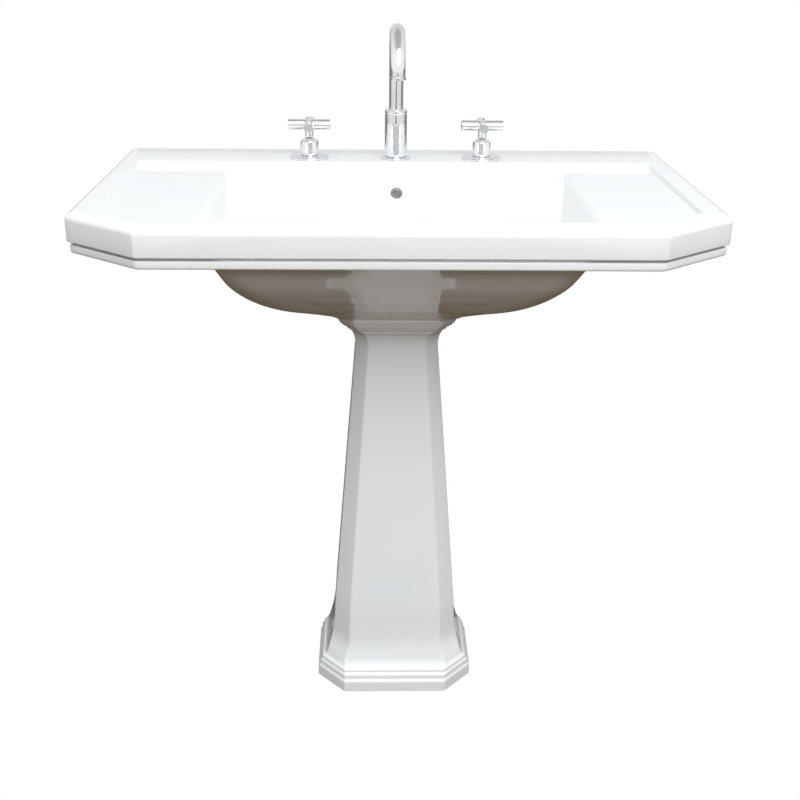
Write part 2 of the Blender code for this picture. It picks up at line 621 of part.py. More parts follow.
def spout():
    place = (0, TAP_LINE, 0)
    plate_top = RIM_HEIGHT + GAP + SPOUT_PLATE_THICK
    cover_plate("spout_escutcheon", 0, SPOUT_PLATE_RADIUS, SPOUT_PLATE_THICK)
    body_top = RIM_HEIGHT + SPOUT_BODY_TOP
    shank_top = plate_top + 0.014
    chamber = SPOUT_RADIUS + 0.0008
    profile = [(THREAD_RADIUS + GAP, plate_top + GAP), (SPOUT_BODY_RADIUS, plate_top + GAP),
               (SPOUT_BODY_RADIUS, body_top - 0.0015), (SPOUT_BODY_RADIUS - 0.0015, body_top),
               (SPOUT_RADIUS + GAP, body_top), (SPOUT_RADIUS + GAP, body_top - 0.004),
               (chamber, body_top - 0.004), (chamber, shank_top + 0.004), (0.0075, shank_top + 0.004),
               (0.0075, shank_top + GAP), (THREAD_RADIUS + GAP, shank_top + GAP)]
    body = piece("spout_body", spun(profile, FINE, hollow=True), "chrome", place)
    screw_height = shank_top + 0.019
    turn = (-math.pi / 2, 0, 0)
    hole = rod(0.0020 + GAP, chamber - 0.001, SPOUT_BODY_RADIUS + 0.002, 12)
    combine(body, piece("stop_screw_hole_tool", hole, "chrome", (0, TAP_LINE, screw_height), turn))
    stop = rod(0.0020, SPOUT_RADIUS + GAP, SPOUT_BODY_RADIUS - 0.0006, 12)
    piece("spout_stop_screw", stop, "screw_steel", (0, TAP_LINE, screw_height), turn)

    # The tube's foot is slimmer, with two O-rings on it, then it fills the chamber's mouth.
    foot = SPOUT_RADIUS - RING_THICK
    centre = RIM_HEIGHT + SPOUT_RISE
    low = shank_top + 0.004 + GAP
    rises = [(low, foot), (body_top - 0.030, foot), (body_top - 0.029, SPOUT_RADIUS),
             (body_top + 0.02, SPOUT_RADIUS)]
    path = [(0, 0, height) for height, _ in rises]
    radii = [radius for _, radius in rises]
    bends = 12
    for i in range(bends + 1):
        angle = math.pi * i / bends
        path.append((0, SPOUT_BEND * (math.cos(angle) - 1), centre + SPOUT_BEND * math.sin(angle)))
        radii.append(SPOUT_RADIUS)
    outlet = centre - SPOUT_DROP
    path.append((0, -2 * SPOUT_BEND, outlet))
    radii.append(SPOUT_RADIUS)
    bore = SPOUT_RADIUS - SPOUT_WALL
    bores = [min(bore, radius - SPOUT_WALL) for radius in radii]
    pipe = swept(path, radii, Vector((1, 0, 0)), 16, bores)
    piece("spout_tube", pipe, "chrome", place)
    for name, height in (("lower", low + 0.006), ("upper", body_top - 0.034)):
        ring = tube(foot + 0.0001, chamber - 0.0003, height, height + 0.0022)
        piece(f"spout_{name}_o_ring", ring, "rubber", place)

    nozzle = (0, TAP_LINE - 2 * SPOUT_BEND, 0)
    end = outlet - GAP
    grip = SPOUT_RADIUS - 0.0028
    profile = [(grip, end - AERATOR_LENGTH), (SPOUT_RADIUS + 0.0005, end - AERATOR_LENGTH),
               (SPOUT_RADIUS + 0.0010, end - AERATOR_LENGTH + 0.0008),
               (SPOUT_RADIUS + 0.0010, end - 0.0008), (SPOUT_RADIUS + 0.0005, end), (bore - GAP, end),
               (bore - GAP, end + 0.005), (grip, end + 0.005)]
    piece("aerator_housing", spun(profile, FINE, hollow=True), "chrome", nozzle)
    disc = rod(grip - GAP, end - AERATOR_LENGTH + 0.0006, end + 0.0035)
    insert = piece("aerator_insert", disc, "aerator_plastic", nozzle)
    for i in range(6):
        angle = math.tau * i / 6
        at = (0.0048 * math.cos(angle), nozzle[1] + 0.0048 * math.sin(angle), end)
        combine(insert, piece(f"aerator_hole_tool_{i}", rod(0.0014, -0.01, 0.01, 8), "aerator_plastic", at))

    port = RIM_HEIGHT - PORT_DROP
    low = port - PORT_RADIUS - 0.005
    profile = [(0, low), (THREAD_RADIUS, low), (THREAD_RADIUS, shank_top), (0.0075, shank_top),
               (0.0075, port - PORT_BORE + 0.0005), (0, port - PORT_BORE + 0.0005)]
    shank = piece("spout_shank", spun(profile, FINE), "brass", place)
    for name, x in (("hot", -1), ("cold", 1)):
        turn = (0, x * math.pi / 2, 0)
        spigot = rod(PORT_RADIUS, 0.0095, TEE_REACH)
        combine(shank, piece(f"tee_{name}_tool", spigot, "brass", (0, TAP_LINE, port), turn), "UNION")
        hole = rod(PORT_BORE, 0.003, TEE_REACH + 0.01, 12)
        combine(shank, piece(f"tee_{name}_bore_tool", hole, "brass", (0, TAP_LINE, port), turn))
    fixing_set("spout", 0)


def link_hose(prefix, side):
    """A short braided hose from one side valve to the tee, with a nut at each end."""
    start = TEE_REACH + GAP
    end = TAP_SPACING / 2 - PORT_REACH - GAP
    height = RIM_HEIGHT - PORT_DROP
    steps = 14
    curve = bpy.data.curves.new(f"{prefix}_link_hose", "CURVE")
    curve.dimensions = "3D"
    spline = curve.splines.new("POLY")
    spline.points.add(steps)
    for i in range(steps + 1):
        share = i / steps
        ease = share * share * (3 - 2 * share)
        sag = HOSE_SAG * math.sin(math.pi * ease) ** 2
        spline.points[i].co = (side * (start + (end - start) * share), TAP_LINE, height - sag, 1)
    curve.bevel_depth = HOSE_RADIUS
    curve.bevel_resolution = 2
    curve.use_fill_caps = True
    curve.materials.append(finish_material("braid"))
    bpy.context.collection.objects.link(bpy.data.objects.new(f"{prefix}_link_hose", curve))
    bore = PORT_RADIUS + GAP
    for name, x, away in (("tee", TEE_REACH, 1), ("valve", TAP_SPACING / 2 - PORT_REACH, -1)):
        low = -0.008
        made = nut(LINK_NUT_HALF, bore, low, low + LINK_NUT_LENGTH)
        piece(f"{prefix}_{name}_union_nut", made, "brass", (side * x, TAP_LINE, height),
              (0, side * away * math.pi / 2, 0))


# Waste and trap

def waste_seat():
    return RIM_HEIGHT - DECK_SINK - BOWL_DEPTH


def make_waste():
    place = (0, WASTE_Y, 0)
    seat = waste_seat()
    bottom = seat - SEAT_THICK
    washer = 0.0015
    flange = seat + GAP + washer + GAP
    tail = flange - WASTE_LENGTH
    ring = tube(WASTE_RADIUS + GAP, WASTE_FLANGE_RADIUS - 0.002, seat + GAP, seat + GAP + washer)
    piece("waste_top_washer", ring, "rubber", place)
    profile = [(WASTE_BORE, tail), (WASTE_RADIUS, tail), (WASTE_RADIUS, flange),
               (WASTE_FLANGE_RADIUS, flange), (WASTE_FLANGE_RADIUS, flange + 0.0012),
               (WASTE_FLANGE_RADIUS - 0.002, flange + 0.0028),
               (WASTE_BORE + 0.006, flange + 0.0022), (WASTE_BORE, flange - 0.0035)]
    body = piece("waste_body", spun(profile, FINE, hollow=True), "chrome", place)
    slot_middle = seat - SEAT_THICK * 0.5
    slot = box((-0.008, -0.03, slot_middle - 0.0055), (0.008, 0.03, slot_middle + 0.0055))
    combine(body, piece("overflow_slot_tool", slot, "chrome", place))
    bridge = bottom + 0.002
    spider = box((-WASTE_BORE - 0.001, -0.0025, bridge - 0.006), (WASTE_BORE + 0.001, 0.0025, bridge))
    combine(body, piece("bridge_tool", spider, "chrome", place), "UNION")
    boss = rod(0.006, bridge - 0.0065, bridge + 0.0005)
    combine(body, piece("bridge_boss_tool", boss, "chrome", place), "UNION")
    boss_bore = rod(0.003 + GAP, bridge - 0.02, bridge + 0.02, 12)
    combine(body, piece("bridge_bore_tool", boss_bore, "chrome", place))

    # The plug stands open on its post, and its skirt keeps clear of the flange's cone all the way down.
    plug_low = flange + 0.0030 + PLUG_LIFT
    post_top = plug_low - 0.0010 - PLUG_LIFT
    profile = [(0, bridge - 0.012), (0.003, bridge - 0.012), (0.003, bridge + 0.0008), (0.0055, bridge + 0.0008),
               (0.0055, bridge + 0.0035), (0.0040, bridge + 0.0035), (0.0040, post_top), (0, post_top)]
    piece("plug_post", spun(profile, COARSE), "brass", place)
    sleeve_low = bridge + 0.0038 + PLUG_LIFT
    cap = [(0, plug_low + 0.0008), (0.0042, plug_low + 0.0008), (0.0042, sleeve_low), (0.0062, sleeve_low),
           (0.0062, plug_low), (PLUG_RADIUS, plug_low), (PLUG_RADIUS, plug_low + 0.0020),
           (PLUG_RADIUS - 0.006, plug_low + 0.0042), (0, plug_low + 0.0052)]
    piece("waste_plug", spun(cap, FINE), "chrome", place)
    seal = tube(0.0062 + GAP, WASTE_BORE - 0.0005, plug_low - GAP - 0.0020, plug_low - GAP)
    piece("plug_seal", seal, "rubber", place)

    washer_top = bottom - GAP
    nut_top = washer_top - 0.004 - GAP
    ring = tube(WASTE_RADIUS + GAP, WASTE_NUT_HALF + 0.002, washer_top - 0.004, washer_top)
    piece("waste_bottom_washer", ring, "rubber", place)
    backnut = nut(WASTE_NUT_HALF, WASTE_RADIUS + GAP, nut_top - 0.008, nut_top)
    piece("waste_backnut", backnut, "brass", place)


def make_trap():
    place = (0, WASTE_Y, 0)
    top = TRAP_TOP
    low = top - TRAP_LENGTH
    tail = waste_seat() + 2 * GAP + 0.0015 - WASTE_LENGTH
    socket = WASTE_RADIUS + GAP
    inside = TRAP_RADIUS - 0.0045
    thread = TRAP_RADIUS - 0.0020
    ceiling = tail - GAP - 0.008
    dip = low - 0.030
    profile = [(0.0135, dip), (0.0155, dip), (0.0155, ceiling), (inside, ceiling), (inside, low), (thread, low),
               (thread, low + 0.014), (TRAP_RADIUS, low + 0.014), (TRAP_RADIUS, top - 0.022),
               (socket + 0.0028, top - 0.018), (socket + 0.0028, top), (socket, top), (socket, tail - GAP),
               (0.0135, tail - GAP)]
    body = piece("trap_body", spun(profile, FINE, hollow=True), "trap_plastic", place)
    outlet = (0, WASTE_Y, top - OUTLET_DROP)
    backwards = (-math.pi / 2, 0, 0)
    bore = OUTLET_RADIUS + GAP
    end = TRAP_RADIUS + OUTLET_SOCKET
    stop = end - 0.016
    tools = (("socket", rod(bore + 0.0028, 0.0172, end, FINE), "UNION"),
             ("socket_bore", rod(bore, stop, end + 0.01, FINE), "DIFFERENCE"),
             ("outlet_bore", rod(0.0125, 0.0162, end, FINE), "DIFFERENCE"))
    for name, shape, operation in tools:
        combine(body, piece(f"{name}_tool", shape, "trap_plastic", outlet, backwards), operation, "MANIFOLD")

    inlet_nut = nut(TRAP_NUT_HALF, socket, top + GAP, top + TRAP_NUT_LENGTH)
    piece("trap_inlet_nut", inlet_nut, "trap_plastic", place)
    ledge = low - 2 * GAP - 0.0020
    rim = low + 0.014 - GAP
    bottom = rim - CUP_LENGTH
    floor = bottom + 0.003
    profile = [(0, bottom), (CUP_RADIUS - 0.009, bottom), (CUP_RADIUS - 0.002, bottom + 0.006),
               (CUP_RADIUS, bottom + 0.010), (CUP_RADIUS, rim), (thread + GAP, rim), (thread + GAP, ledge),
               (inside, ledge), (inside, floor + 0.008), (inside - 0.006, floor), (0, floor)]
    piece("trap_cup", spun(profile, FINE), "trap_plastic", place)
    seal = tube(inside + 0.0001, thread - GAP, low - GAP - 0.0020, low - GAP, FINE)
    piece("trap_cup_seal", seal, "rubber", place)

    wall = BASIN_DEPTH / 2 - WASTE_Y - GAP
    pipe = tube(OUTLET_RADIUS - 0.0018, OUTLET_RADIUS, stop + GAP, wall, FINE)
    piece("outlet_pipe", pipe, "chrome", outlet, backwards)
    collar = nut(OUTLET_RADIUS + 0.0055, bore, end + GAP, end + 0.013)
    piece("outlet_nut", collar, "trap_plastic", outlet, backwards)
    profile = [(clear_of(bore, FINE), wall - 0.009), (bore + 0.003, wall - 0.009),
               (ROSE_RADIUS - 0.005, wall - 0.005), (ROSE_RADIUS, wall - 0.001), (ROSE_RADIUS, wall),
               (clear_of(bore, FINE), wall)]
    piece("wall_rose", spun(profile, FINE, hollow=True), "chrome", outlet, backwards)


def build():
    remove_everything()
    make_basin()
    make_pedestal()
    valve("hot", -TAP_SPACING / 2, 1)
    valve("cold", TAP_SPACING / 2, -1)
    spout()
    link_hose("hot", -1)
    link_hose("cold", 1)
    make_waste()
    make_trap()


build()
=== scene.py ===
import json
import math

import bpy
from mathutils import Matrix, Vector

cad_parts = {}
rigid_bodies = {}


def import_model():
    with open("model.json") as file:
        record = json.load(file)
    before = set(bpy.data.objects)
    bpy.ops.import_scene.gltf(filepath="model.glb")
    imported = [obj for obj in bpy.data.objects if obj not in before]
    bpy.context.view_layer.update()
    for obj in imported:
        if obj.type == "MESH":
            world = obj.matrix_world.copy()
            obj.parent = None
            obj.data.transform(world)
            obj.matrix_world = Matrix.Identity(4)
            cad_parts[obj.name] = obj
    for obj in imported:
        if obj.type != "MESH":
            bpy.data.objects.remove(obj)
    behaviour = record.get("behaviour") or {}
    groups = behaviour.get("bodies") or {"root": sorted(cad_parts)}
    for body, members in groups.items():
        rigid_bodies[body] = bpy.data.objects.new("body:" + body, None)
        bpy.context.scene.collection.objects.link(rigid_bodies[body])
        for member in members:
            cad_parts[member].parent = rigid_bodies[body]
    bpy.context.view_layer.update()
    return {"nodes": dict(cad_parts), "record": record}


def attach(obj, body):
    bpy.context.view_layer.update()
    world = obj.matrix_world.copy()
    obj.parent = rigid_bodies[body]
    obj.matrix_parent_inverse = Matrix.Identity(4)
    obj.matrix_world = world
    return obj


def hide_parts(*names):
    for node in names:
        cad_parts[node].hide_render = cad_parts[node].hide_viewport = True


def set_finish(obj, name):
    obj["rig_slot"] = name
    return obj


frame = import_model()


# ways of working

def letGo():
    if bpy.context.mode != "OBJECT":
        bpy.ops.object.mode_set(mode="OBJECT")
    bpy.ops.object.select_all(action="DESELECT")


def hold(obj):
    letGo()
    obj.select_set(True)
    bpy.context.view_layer.objects.active = obj
    return obj


def named(name):
    obj = bpy.context.object
    obj.name = name
    obj.data.name = name
    return obj


def settle(obj, smoothAngle=35, tidy=True):
    # place into the mesh, faces outwards, smooth where it is round
    hold(obj)
    bpy.ops.object.transform_apply(location=True, rotation=True, scale=True)
    if tidy:
        bpy.ops.object.mode_set(mode="EDIT")
        bpy.ops.mesh.select_all(action="SELECT")
        bpy.ops.mesh.remove_doubles(threshold=1e-6)
        bpy.ops.mesh.normals_make_consistent(inside=False)
        bpy.ops.object.mode_set(mode="OBJECT")
    bpy.ops.object.shade_smooth_by_angle(angle=math.radians(smoothAngle))
    return obj


def carve(obj, tool, operation="DIFFERENCE"):
    hold(obj)
    bpy.ops.object.modifier_add(type="BOOLEAN")
    cut = obj.modifiers[-1]
    cut.operation = operation
    cut.solver = "EXACT"
    cut.object = tool
    bpy.ops.object.modifier_apply(modifier=cut.name)
    bpy.data.objects.remove(tool, do_unlink=True)
    return obj


def softened(profile, closed, steps=4):
    # a corner's third number is its rounding
    points = []
    count = len(profile)
    for i, corner in enumerate(profile):
        here = Vector(corner[:2])
        if len(corner) < 3 or (not closed and i in (0, count - 1)):
            points.append(here)
            continue
        back = Vector(profile[i - 1][:2]) - here
        ahead = Vector(profile[(i + 1) % count][:2]) - here
        start = here + back.normalized() * min(corner[2], back.length * 0.48)
        end = here + ahead.normalized() * min(corner[2], ahead.length * 0.48)
        for step in range(steps + 1):
            t = step / steps
            points.append(start * (1 - t) ** 2 + here * 2 * t * (1 - t) + end * t * t)
    return points


def turned(name, profile, place=(0, 0, 0), turn=(0, 0, 0), sides=64, closed=True, steps=4):
    # one ring drawn out through the profile, as on a lathe
    points = softened(profile, closed, steps)
    if closed:
        points.append(points[0])
    letGo()
    start = points[0]
    bpy.ops.mesh.primitive_circle_add(vertices=sides, radius=start.x, location=(0, 0, start.y))
    obj = named(name)
    bpy.ops.object.mode_set(mode="EDIT")
    if not closed:
        bpy.ops.mesh.edge_face_add()
        bpy.ops.mesh.select_mode(type="EDGE")
    for before, after in zip(points, points[1:]):
        bpy.ops.mesh.extrude_edges_move(TRANSFORM_OT_translate={"value": (0, 0, after.y - before.y)})
        ratio = after.x / before.x
        if abs(ratio - 1) > 1e-7:
            bpy.ops.transform.resize(value=(ratio, ratio, 1), center_override=(0, 0, after.y))
    if not closed:
        bpy.ops.mesh.edge_face_add()
    bpy.ops.object.mode_set(mode="OBJECT")
    bpy.ops.object.transform_apply(location=True, rotation=False, scale=False)
    obj.location = place
    obj.rotation_euler = turn
    return settle(obj)


def mirrored(left):
    return left + [(-x, y) for x, y in reversed(left)]


def between(first, last, share):
    return [a + (b - a) * share for a, b in zip(first, last)]


def cornerLoop(corners, radii, arcSteps, sideSteps, z):
    # a closed outline with round corners, from the middle of its last side
    arcs = []
    for i, corner in enumerate(corners):
        here = Vector((*corner, z))
        back = (Vector((*corners[i - 1], z)) - here).normalized()
        ahead = (Vector((*corners[(i + 1) % len(corners)], z)) - here).normalized()
        half = back.angle(ahead) / 2
        run = radii[i] / math.tan(half)
        centre = here + (back + ahead).normalized() * radii[i] / math.sin(half)
        first = (here + back * run - centre).normalized()
        last = (here + ahead * run - centre).normalized()
        steps = arcSteps[i]
        arcs.append([centre + first.slerp(last, step / steps) * radii[i] for step in range(steps + 1)])
    points = []
    for i, arc in enumerate(arcs):
        ahead = arcs[(i + 1) % len(arcs)][0]
        points += arc + [arc[-1].lerp(ahead, step / sideSteps[i]) for step in range(1, sideSteps[i])]
    shift = sideSteps[-1] // 2
    return points[-shift:] + points[:-shift]


def skinned(name, loops, closed):
    # outlines of equal count joined one to the next, like slip drawn over formers
    count = len(loops[0])
    places = [point[:] for loop in loops for point in loop]
    faces = []
    pairs = list(zip(range(len(loops) - 1), range(1, len(loops))))
    if closed:
        pairs.append((len(loops) - 1, 0))
    else:
        faces += [tuple(range(count)), tuple(range((len(loops) - 1) * count, len(loops) * count))]
    for low, high in pairs:
        for i in range(count):
            j = (i + 1) % count
            faces.append((low * count + i, low * count + j, high * count + j, high * count + i))
    mesh = bpy.data.meshes.new(name)
    mesh.from_pydata(places, [], faces)
    obj = bpy.data.objects.new(name, mesh)
    bpy.context.scene.collection.objects.link(obj)
    return settle(obj)


def fairRows(rows, steps):
    # a smooth run through rows of numbers, spaced by how far each row moves
    spans = [max(1e-6, math.dist(a, b)) for a, b in zip(rows, rows[1:])]
    slopes = [[(q - p) / span for p, q in zip(a, b)] for a, b, span in zip(rows, rows[1:], spans)]
    leans = [slopes[0]]
    for i in range(1, len(slopes)):
        share = spans[i - 1] / (spans[i - 1] + spans[i])
        leans.append([a * (1 - share) + b * share for a, b in zip(slopes[i - 1], slopes[i])])
    leans.append(slopes[-1])
    fair = []
    for i, span in enumerate(spans):
        for step in range(steps):
            t = step / steps
            fair.append([(2 * t ** 3 - 3 * t ** 2 + 1) * p + (t ** 3 - 2 * t ** 2 + t) * span * lp
                         + (3 * t ** 2 - 2 * t ** 3) * q + (t ** 3 - t ** 2) * span * lq
                         for p, q, lp, lq in zip(rows[i], rows[i + 1], leans[i], leans[i + 1])])
    return fair + [list(rows[-1])]


def cube(name, low, high, rounding=0.0, steps=3):
    letGo()
    low, high = Vector(low), Vector(high)
    bpy.ops.mesh.primitive_cube_add(size=1, location=(low + high) / 2)
    obj = named(name)
    obj.scale = high - low
    bpy.ops.object.transform_apply(location=True, rotation=True, scale=True)
    if rounding:
        bpy.ops.object.mode_set(mode="EDIT")
        bpy.ops.mesh.select_all(action="SELECT")
        bpy.ops.mesh.bevel(offset=rounding, segments=steps, affect="EDGES")
        bpy.ops.object.mode_set(mode="OBJECT")
    return settle(obj)


def plug(name, radius, low, high, place=(0, 0, 0), turn=(0, 0, 0), mouth=0.0, sides=64):
    # a round cutter; with a mouth it opens out where it meets the surface at height 0
    profile = [(radius, low), (radius, high)]
    if mouth:
        profile = [(radius, high), (radius, mouth)]
        for step in range(1, 6):
            angle = math.pi / 2 * step / 5
            profile.append((radius + mouth * (1 - math.cos(angle)), mouth - mouth * math.sin(angle)))
        profile += [(radius + mouth * 1.4, low * 0.3), (radius + mouth * 1.4, low)]
    return turned(name, profile, place, turn, sides, closed=False)


def ring(inner, outer, low, high, edges):
    # the section of a plain ring, each of its corners eased
    corners = ((inner, low), (outer, low), (outer, high), (inner, high))
    return [(*corner, edge) for corner, edge in zip(corners, edges)]


def stand(obj, body, slot, node):
    # the finished piece moves with its body and takes its node's place
    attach(obj, body)
    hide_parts(node)
    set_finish(obj, slot)


# the china basin

basin = {
    "halfWidth": 0.450, "front": -0.275, "rear": 0.275, "rim": 0.850,
    "clipX": 0.105, "clipY": 0.082, "cornerRound": 0.007,
    "lip": 0.011, "lipBack": 0.3, "grooveBack": 0.04, "standOff": 0.0005,
    "apron": 0.040, "grooveHigh": 0.0045, "grooveDeep": 0.012, "bandHigh": 0.0115, "bandIn": 0.0035,
    "recessRound": 0.012, "skirtRound": 0.004,
    "skirt": 0.020, "railThick": 0.016, "railHalf": 0.240, "railLow": 0.745,
    "sideRim": 0.035, "frontRim": 0.045, "ledge": 0.115, "sink": 0.008, "deckThick": 0.012,
    "bowlRound": 0.006, "frontShare": 0.12, "skin": 0.006, "pocketSkin": 0.010, "webHalf": 0.040,
    "wasteY": 0.008, "wasteHole": 0.0225, "seatThick": 0.0275,
    # half width, front, rear, corner, height
    "bowl": [(0.270, -0.225, 0.130, 0.014, 0.842), (0.2066, -0.212, 0.088, 0.0257, 0.7804),
             (0.1647, -0.178, 0.062, 0.0344, 0.7346), (0.140, -0.132, 0.050, 0.040, 0.7045),
             (0.119, -0.100, 0.0455, 0.0425, 0.6903), (0.097, -0.082, 0.045, 0.043, 0.6850),
             (0.0756, -0.067, 0.044, 0.040, 0.684)],
    "shell": [(0.282, -0.266, 0.150, 0.030, 0.835), (0.255, -0.264, 0.150, 0.030, 0.796),
              (0.2525, -0.242, 0.150, 0.036, 0.780), (0.2445, -0.205, 0.150, 0.050, 0.745),
              (0.236, -0.165, 0.148, 0.070, 0.715), (0.229, -0.143, 0.146, 0.080, 0.700),
              (0.214, -0.118, 0.135, 0.085, 0.685), (0.190, -0.101, 0.125, 0.082, 0.677),
              (0.148, -0.086, 0.110, 0.070, 0.668), (0.119, -0.072, 0.090, 0.055, 0.660),
              (0.107, -0.068, 0.078, 0.045, 0.6565)],
    "tapLine": 0.199, "tapSpacing": 0.284, "tapHole": 0.015,
    "overflowHigh": 0.8115, "overflowHole": 0.0095, "overflowTilt": 34,
    "chamber": 0.0145, "chamberBack": 0.020, "chamberDrop": 0.0135, "passage": 0.0055,
    "wallHoleX": 0.140, "wallHoleHigh": 0.772, "wallHole": 0.007,
}


def clippedLoop(side, front, rear, corner, z):
    # the outline in plan, moved in by side and front, with its back edge at rear
    clipX, clipY = basin["clipX"], basin["clipY"]
    half = basin["halfWidth"] - side
    near = basin["front"] + front
    reach = (basin["halfWidth"] - clipX) / clipX - basin["front"] / clipY
    reach -= (side + front) / 2 * math.hypot(clipX, clipY) / (clipX * clipY)
    atSide = (reach - half / clipX) * clipY
    atFront = (reach + near / clipY) * clipX
    corners = mirrored([(-half, rear), (-half, -atSide), (-atFront, near)])
    radii = [corner / 2] + [corner] * 4 + [corner / 2]
    return cornerLoop(corners, radii, [6] * 6, [21, 8, 30, 8, 21, 40], z)


def bowlLoop(half, front, rear, corner, z):
    corner = min(corner, half * 0.98, (rear - front) * 0.49)
    return cornerLoop(mirrored([(-half, rear), (-half, front)]), [corner] * 4, [12] * 4, [22, 36, 22, 36], z)


def roundLoop(like, radius, z):
    centre = Vector((0, basin["wasteY"], z))
    flat = [Vector((point.x, point.y, z)) - centre for point in like]
    return [centre + away.normalized() * radius for away in flat]


def grown(row, amount, down=None):
    half, front, rear, corner, z = row
    return (half + amount, front - amount, rear + amount, max(0.004, corner + amount),
            z - (amount if down is None else down))


def bowlRows(steps=7):
    # the first wall is flat; the foot of the bowl is one smooth sweep
    rows = basin["bowl"]
    return [list(rows[0])] + fairRows(rows[1:], steps)


def bowlAt(z):
    # the bowl's first wall at a height
    top, wall = basin["bowl"][:2]
    return between(top, wall, (top[4] - z) / (top[4] - wall[4]))


def bowlEdge():
    # the rounding where the deck turns down into the bowl
    top, wall = basin["bowl"][:2]
    reach = basin["bowlRound"]
    outside = list(grown(top, reach, 0))
    outside[1] = top[1] - reach * basin["frontShare"]
    inside = between(top, wall, reach / (top[4] - wall[4]))
    edge = []
    for step in range(9):
        t = step / 8
        early, middle, late = (1 - t) ** 2, 2 * t * (1 - t), t * t
        edge.append([early * a + middle * b + late * c for a, b, c in zip(outside, top, inside)])
    return edge


def rimProfile():
    # inset from the edge and height, from the groove's foot up and over to the sunk deck
    rim, lip, skirt, bandIn, deep = (basin[key] for key in ("rim", "lip", "skirt", "bandIn", "grooveDeep"))
    grooveTop = rim - basin["apron"]
    bandTop = grooveTop - basin["grooveHigh"]
    bandLow = bandTop - basin["bandHigh"]
    under = rim - basin["sink"] - basin["deckThick"]
    outer = [(skirt + 0.012, under), (skirt, under, 0.006), (skirt, bandLow, 0.004),
             (bandIn, bandLow, 0.0035), (bandIn, bandTop, 0.0012), (deep, bandTop, 0.0006),
             (deep, grooveTop, 0.0006), (0.0, grooveTop, 0.0016), (0.0, rim - lip)]
    points = [tuple(point) for point in softened(outer, False, 4)]
    for step in range(1, 11):
        angle = math.pi / 2 * (1 - step / 10)
        points.append((lip * (1 - math.sin(angle)), rim - lip * (1 - math.cos(angle))))
    return points


def recessProfile():
    # how far in from the recess line, and height: over the rim's inner edge and down a soft cove
    rim, deck = basin["rim"], basin["rim"] - basin["sink"]
    line = [(-0.010, rim), (0.001, rim, 0.004), (0.0035, deck, 0.009), (0.016, deck)]
    return [tuple(point) for point in softened(line, False, 8)]


def rimBack(inset, z):
    # where the back edge of each outline lies: at the wall above, and at the rear rail's face below
    rear, rim, skirt, bandIn = basin["rear"], basin["rim"], basin["skirt"], basin["bandIn"]
    if z > rim - basin["lip"] - 0.0001:
        return rear - basin["standOff"] - inset * basin["lipBack"]
    if inset >= skirt - 0.0001:
        return rear - basin["railThick"] - (inset - skirt)
    if z < rim - basin["apron"] - basin["grooveHigh"] - basin["bandHigh"] + 0.004:
        share = max(0, (inset - bandIn) / (skirt - bandIn))
        near = basin["standOff"] + bandIn * basin["grooveBack"]
        return rear - near - share * (basin["railThick"] - near)
    return rear - basin["standOff"] - inset * basin["grooveBack"]


def makeBasinBody():
    # one closed run of outlines: the waste hole, the bowl, the deck, the rim, and back along the underside
    seat, hole, skin = basin["bowl"][-1], basin["wasteHole"], basin["skin"]
    low, floor = seat[4] - basin["seatThick"] + 0.0003, seat[4]
    like = bowlLoop(*seat)
    loops = [roundLoop(like, hole + out, z) for out, z in (
        (0, low), (0, floor - 0.002), (0.0006, floor - 0.0006), (0.002, floor), (0.009, floor))]
    inside, edge = bowlRows()[1:], bowlEdge()
    loops += [bowlLoop(*row) for row in reversed(inside)]
    loops += [bowlLoop(*between(inside[0], edge[-1], step / 8)) for step in range(1, 8)]
    loops += [bowlLoop(*row) for row in reversed(edge)]
    half, front, back, corner, z = edge[0]
    loops.append(bowlLoop(half + 0.003, front - 0.0004, back + 0.003, corner + 0.003, z))

    # the bowl's front edge stands against the rim, so the cove is steep there
    for inset, z in reversed(recessProfile()):
        ahead = inset * basin["frontShare"] if inset > 0 else inset
        loops.append(clippedLoop(basin["sideRim"] + inset, basin["frontRim"] + ahead,
                                 basin["rear"] - basin["ledge"] - inset, basin["recessRound"], z))
    for inset, z in reversed(rimProfile()):
        corner = basin["skirtRound"] if inset >= basin["skirt"] - 0.0001 else basin["cornerRound"]
        loops.append(clippedLoop(inset, inset, rimBack(inset, z), corner, z))
    under = basin["rim"] - basin["sink"] - basin["deckThick"]
    loops.append(bowlLoop(*grown(bowlAt(under), skin, 0)))
    loops += [bowlLoop(*grown(row, skin)) for row in inside]
    loops.append(roundLoop(like, hole + 0.012, low))
    return skinned("basinChina", loops, True)


def bowlTool(name, wall):
    # the bowl's own form, larger by a wall and run up past the rim
    rows = [grown(row, wall) for row in bowlRows()]
    rows.insert(0, (*rows[0][:4], basin["rim"] + 0.02))
    return skinned(name, [bowlLoop(*row) for row in rows], False)


def makeShell():
    # the rounded shell under the bowl, hollowed to the bowl's form and holed for the waste; the basin joins
    # it and the rear rail to the china above
    shell = skinned("shellTool", [bowlLoop(*row) for row in fairRows(basin["shell"], 4)], False)
    carve(shell, bowlTool("hollowTool", 0.003))
    low, spot = basin["bowl"][-1][4] - basin["seatThick"], (0, basin["wasteY"], 0)
    carve(shell, plug("holeTool", basin["wasteHole"] + 0.002, low - 0.01, low + 0.05, spot))
    return shell


def makePockets(under):
    # the room inside the shell, open at the back, with a web left in the middle
    wall = basin["pocketSkin"]
    rows = [(half - wall, front + wall, rear + 0.06, max(corner - wall, 0.02), min(z + wall, under - 0.002))
            for half, front, rear, corner, z in basin["shell"]]
    rows = [row for i, row in enumerate(rows) if i == 0 or row[4] < rows[i - 1][4]]
    pockets = skinned("pocketTool", [bowlLoop(*row) for row in rows], False)
    carve(pockets, bowlTool("skinTool", wall))
    return carve(pockets, cube("webTool", (-basin["webHalf"], basin["bowl"][0][1], 0.4),
                               (basin["webHalf"], basin["rear"], basin["rim"] + 0.1)))


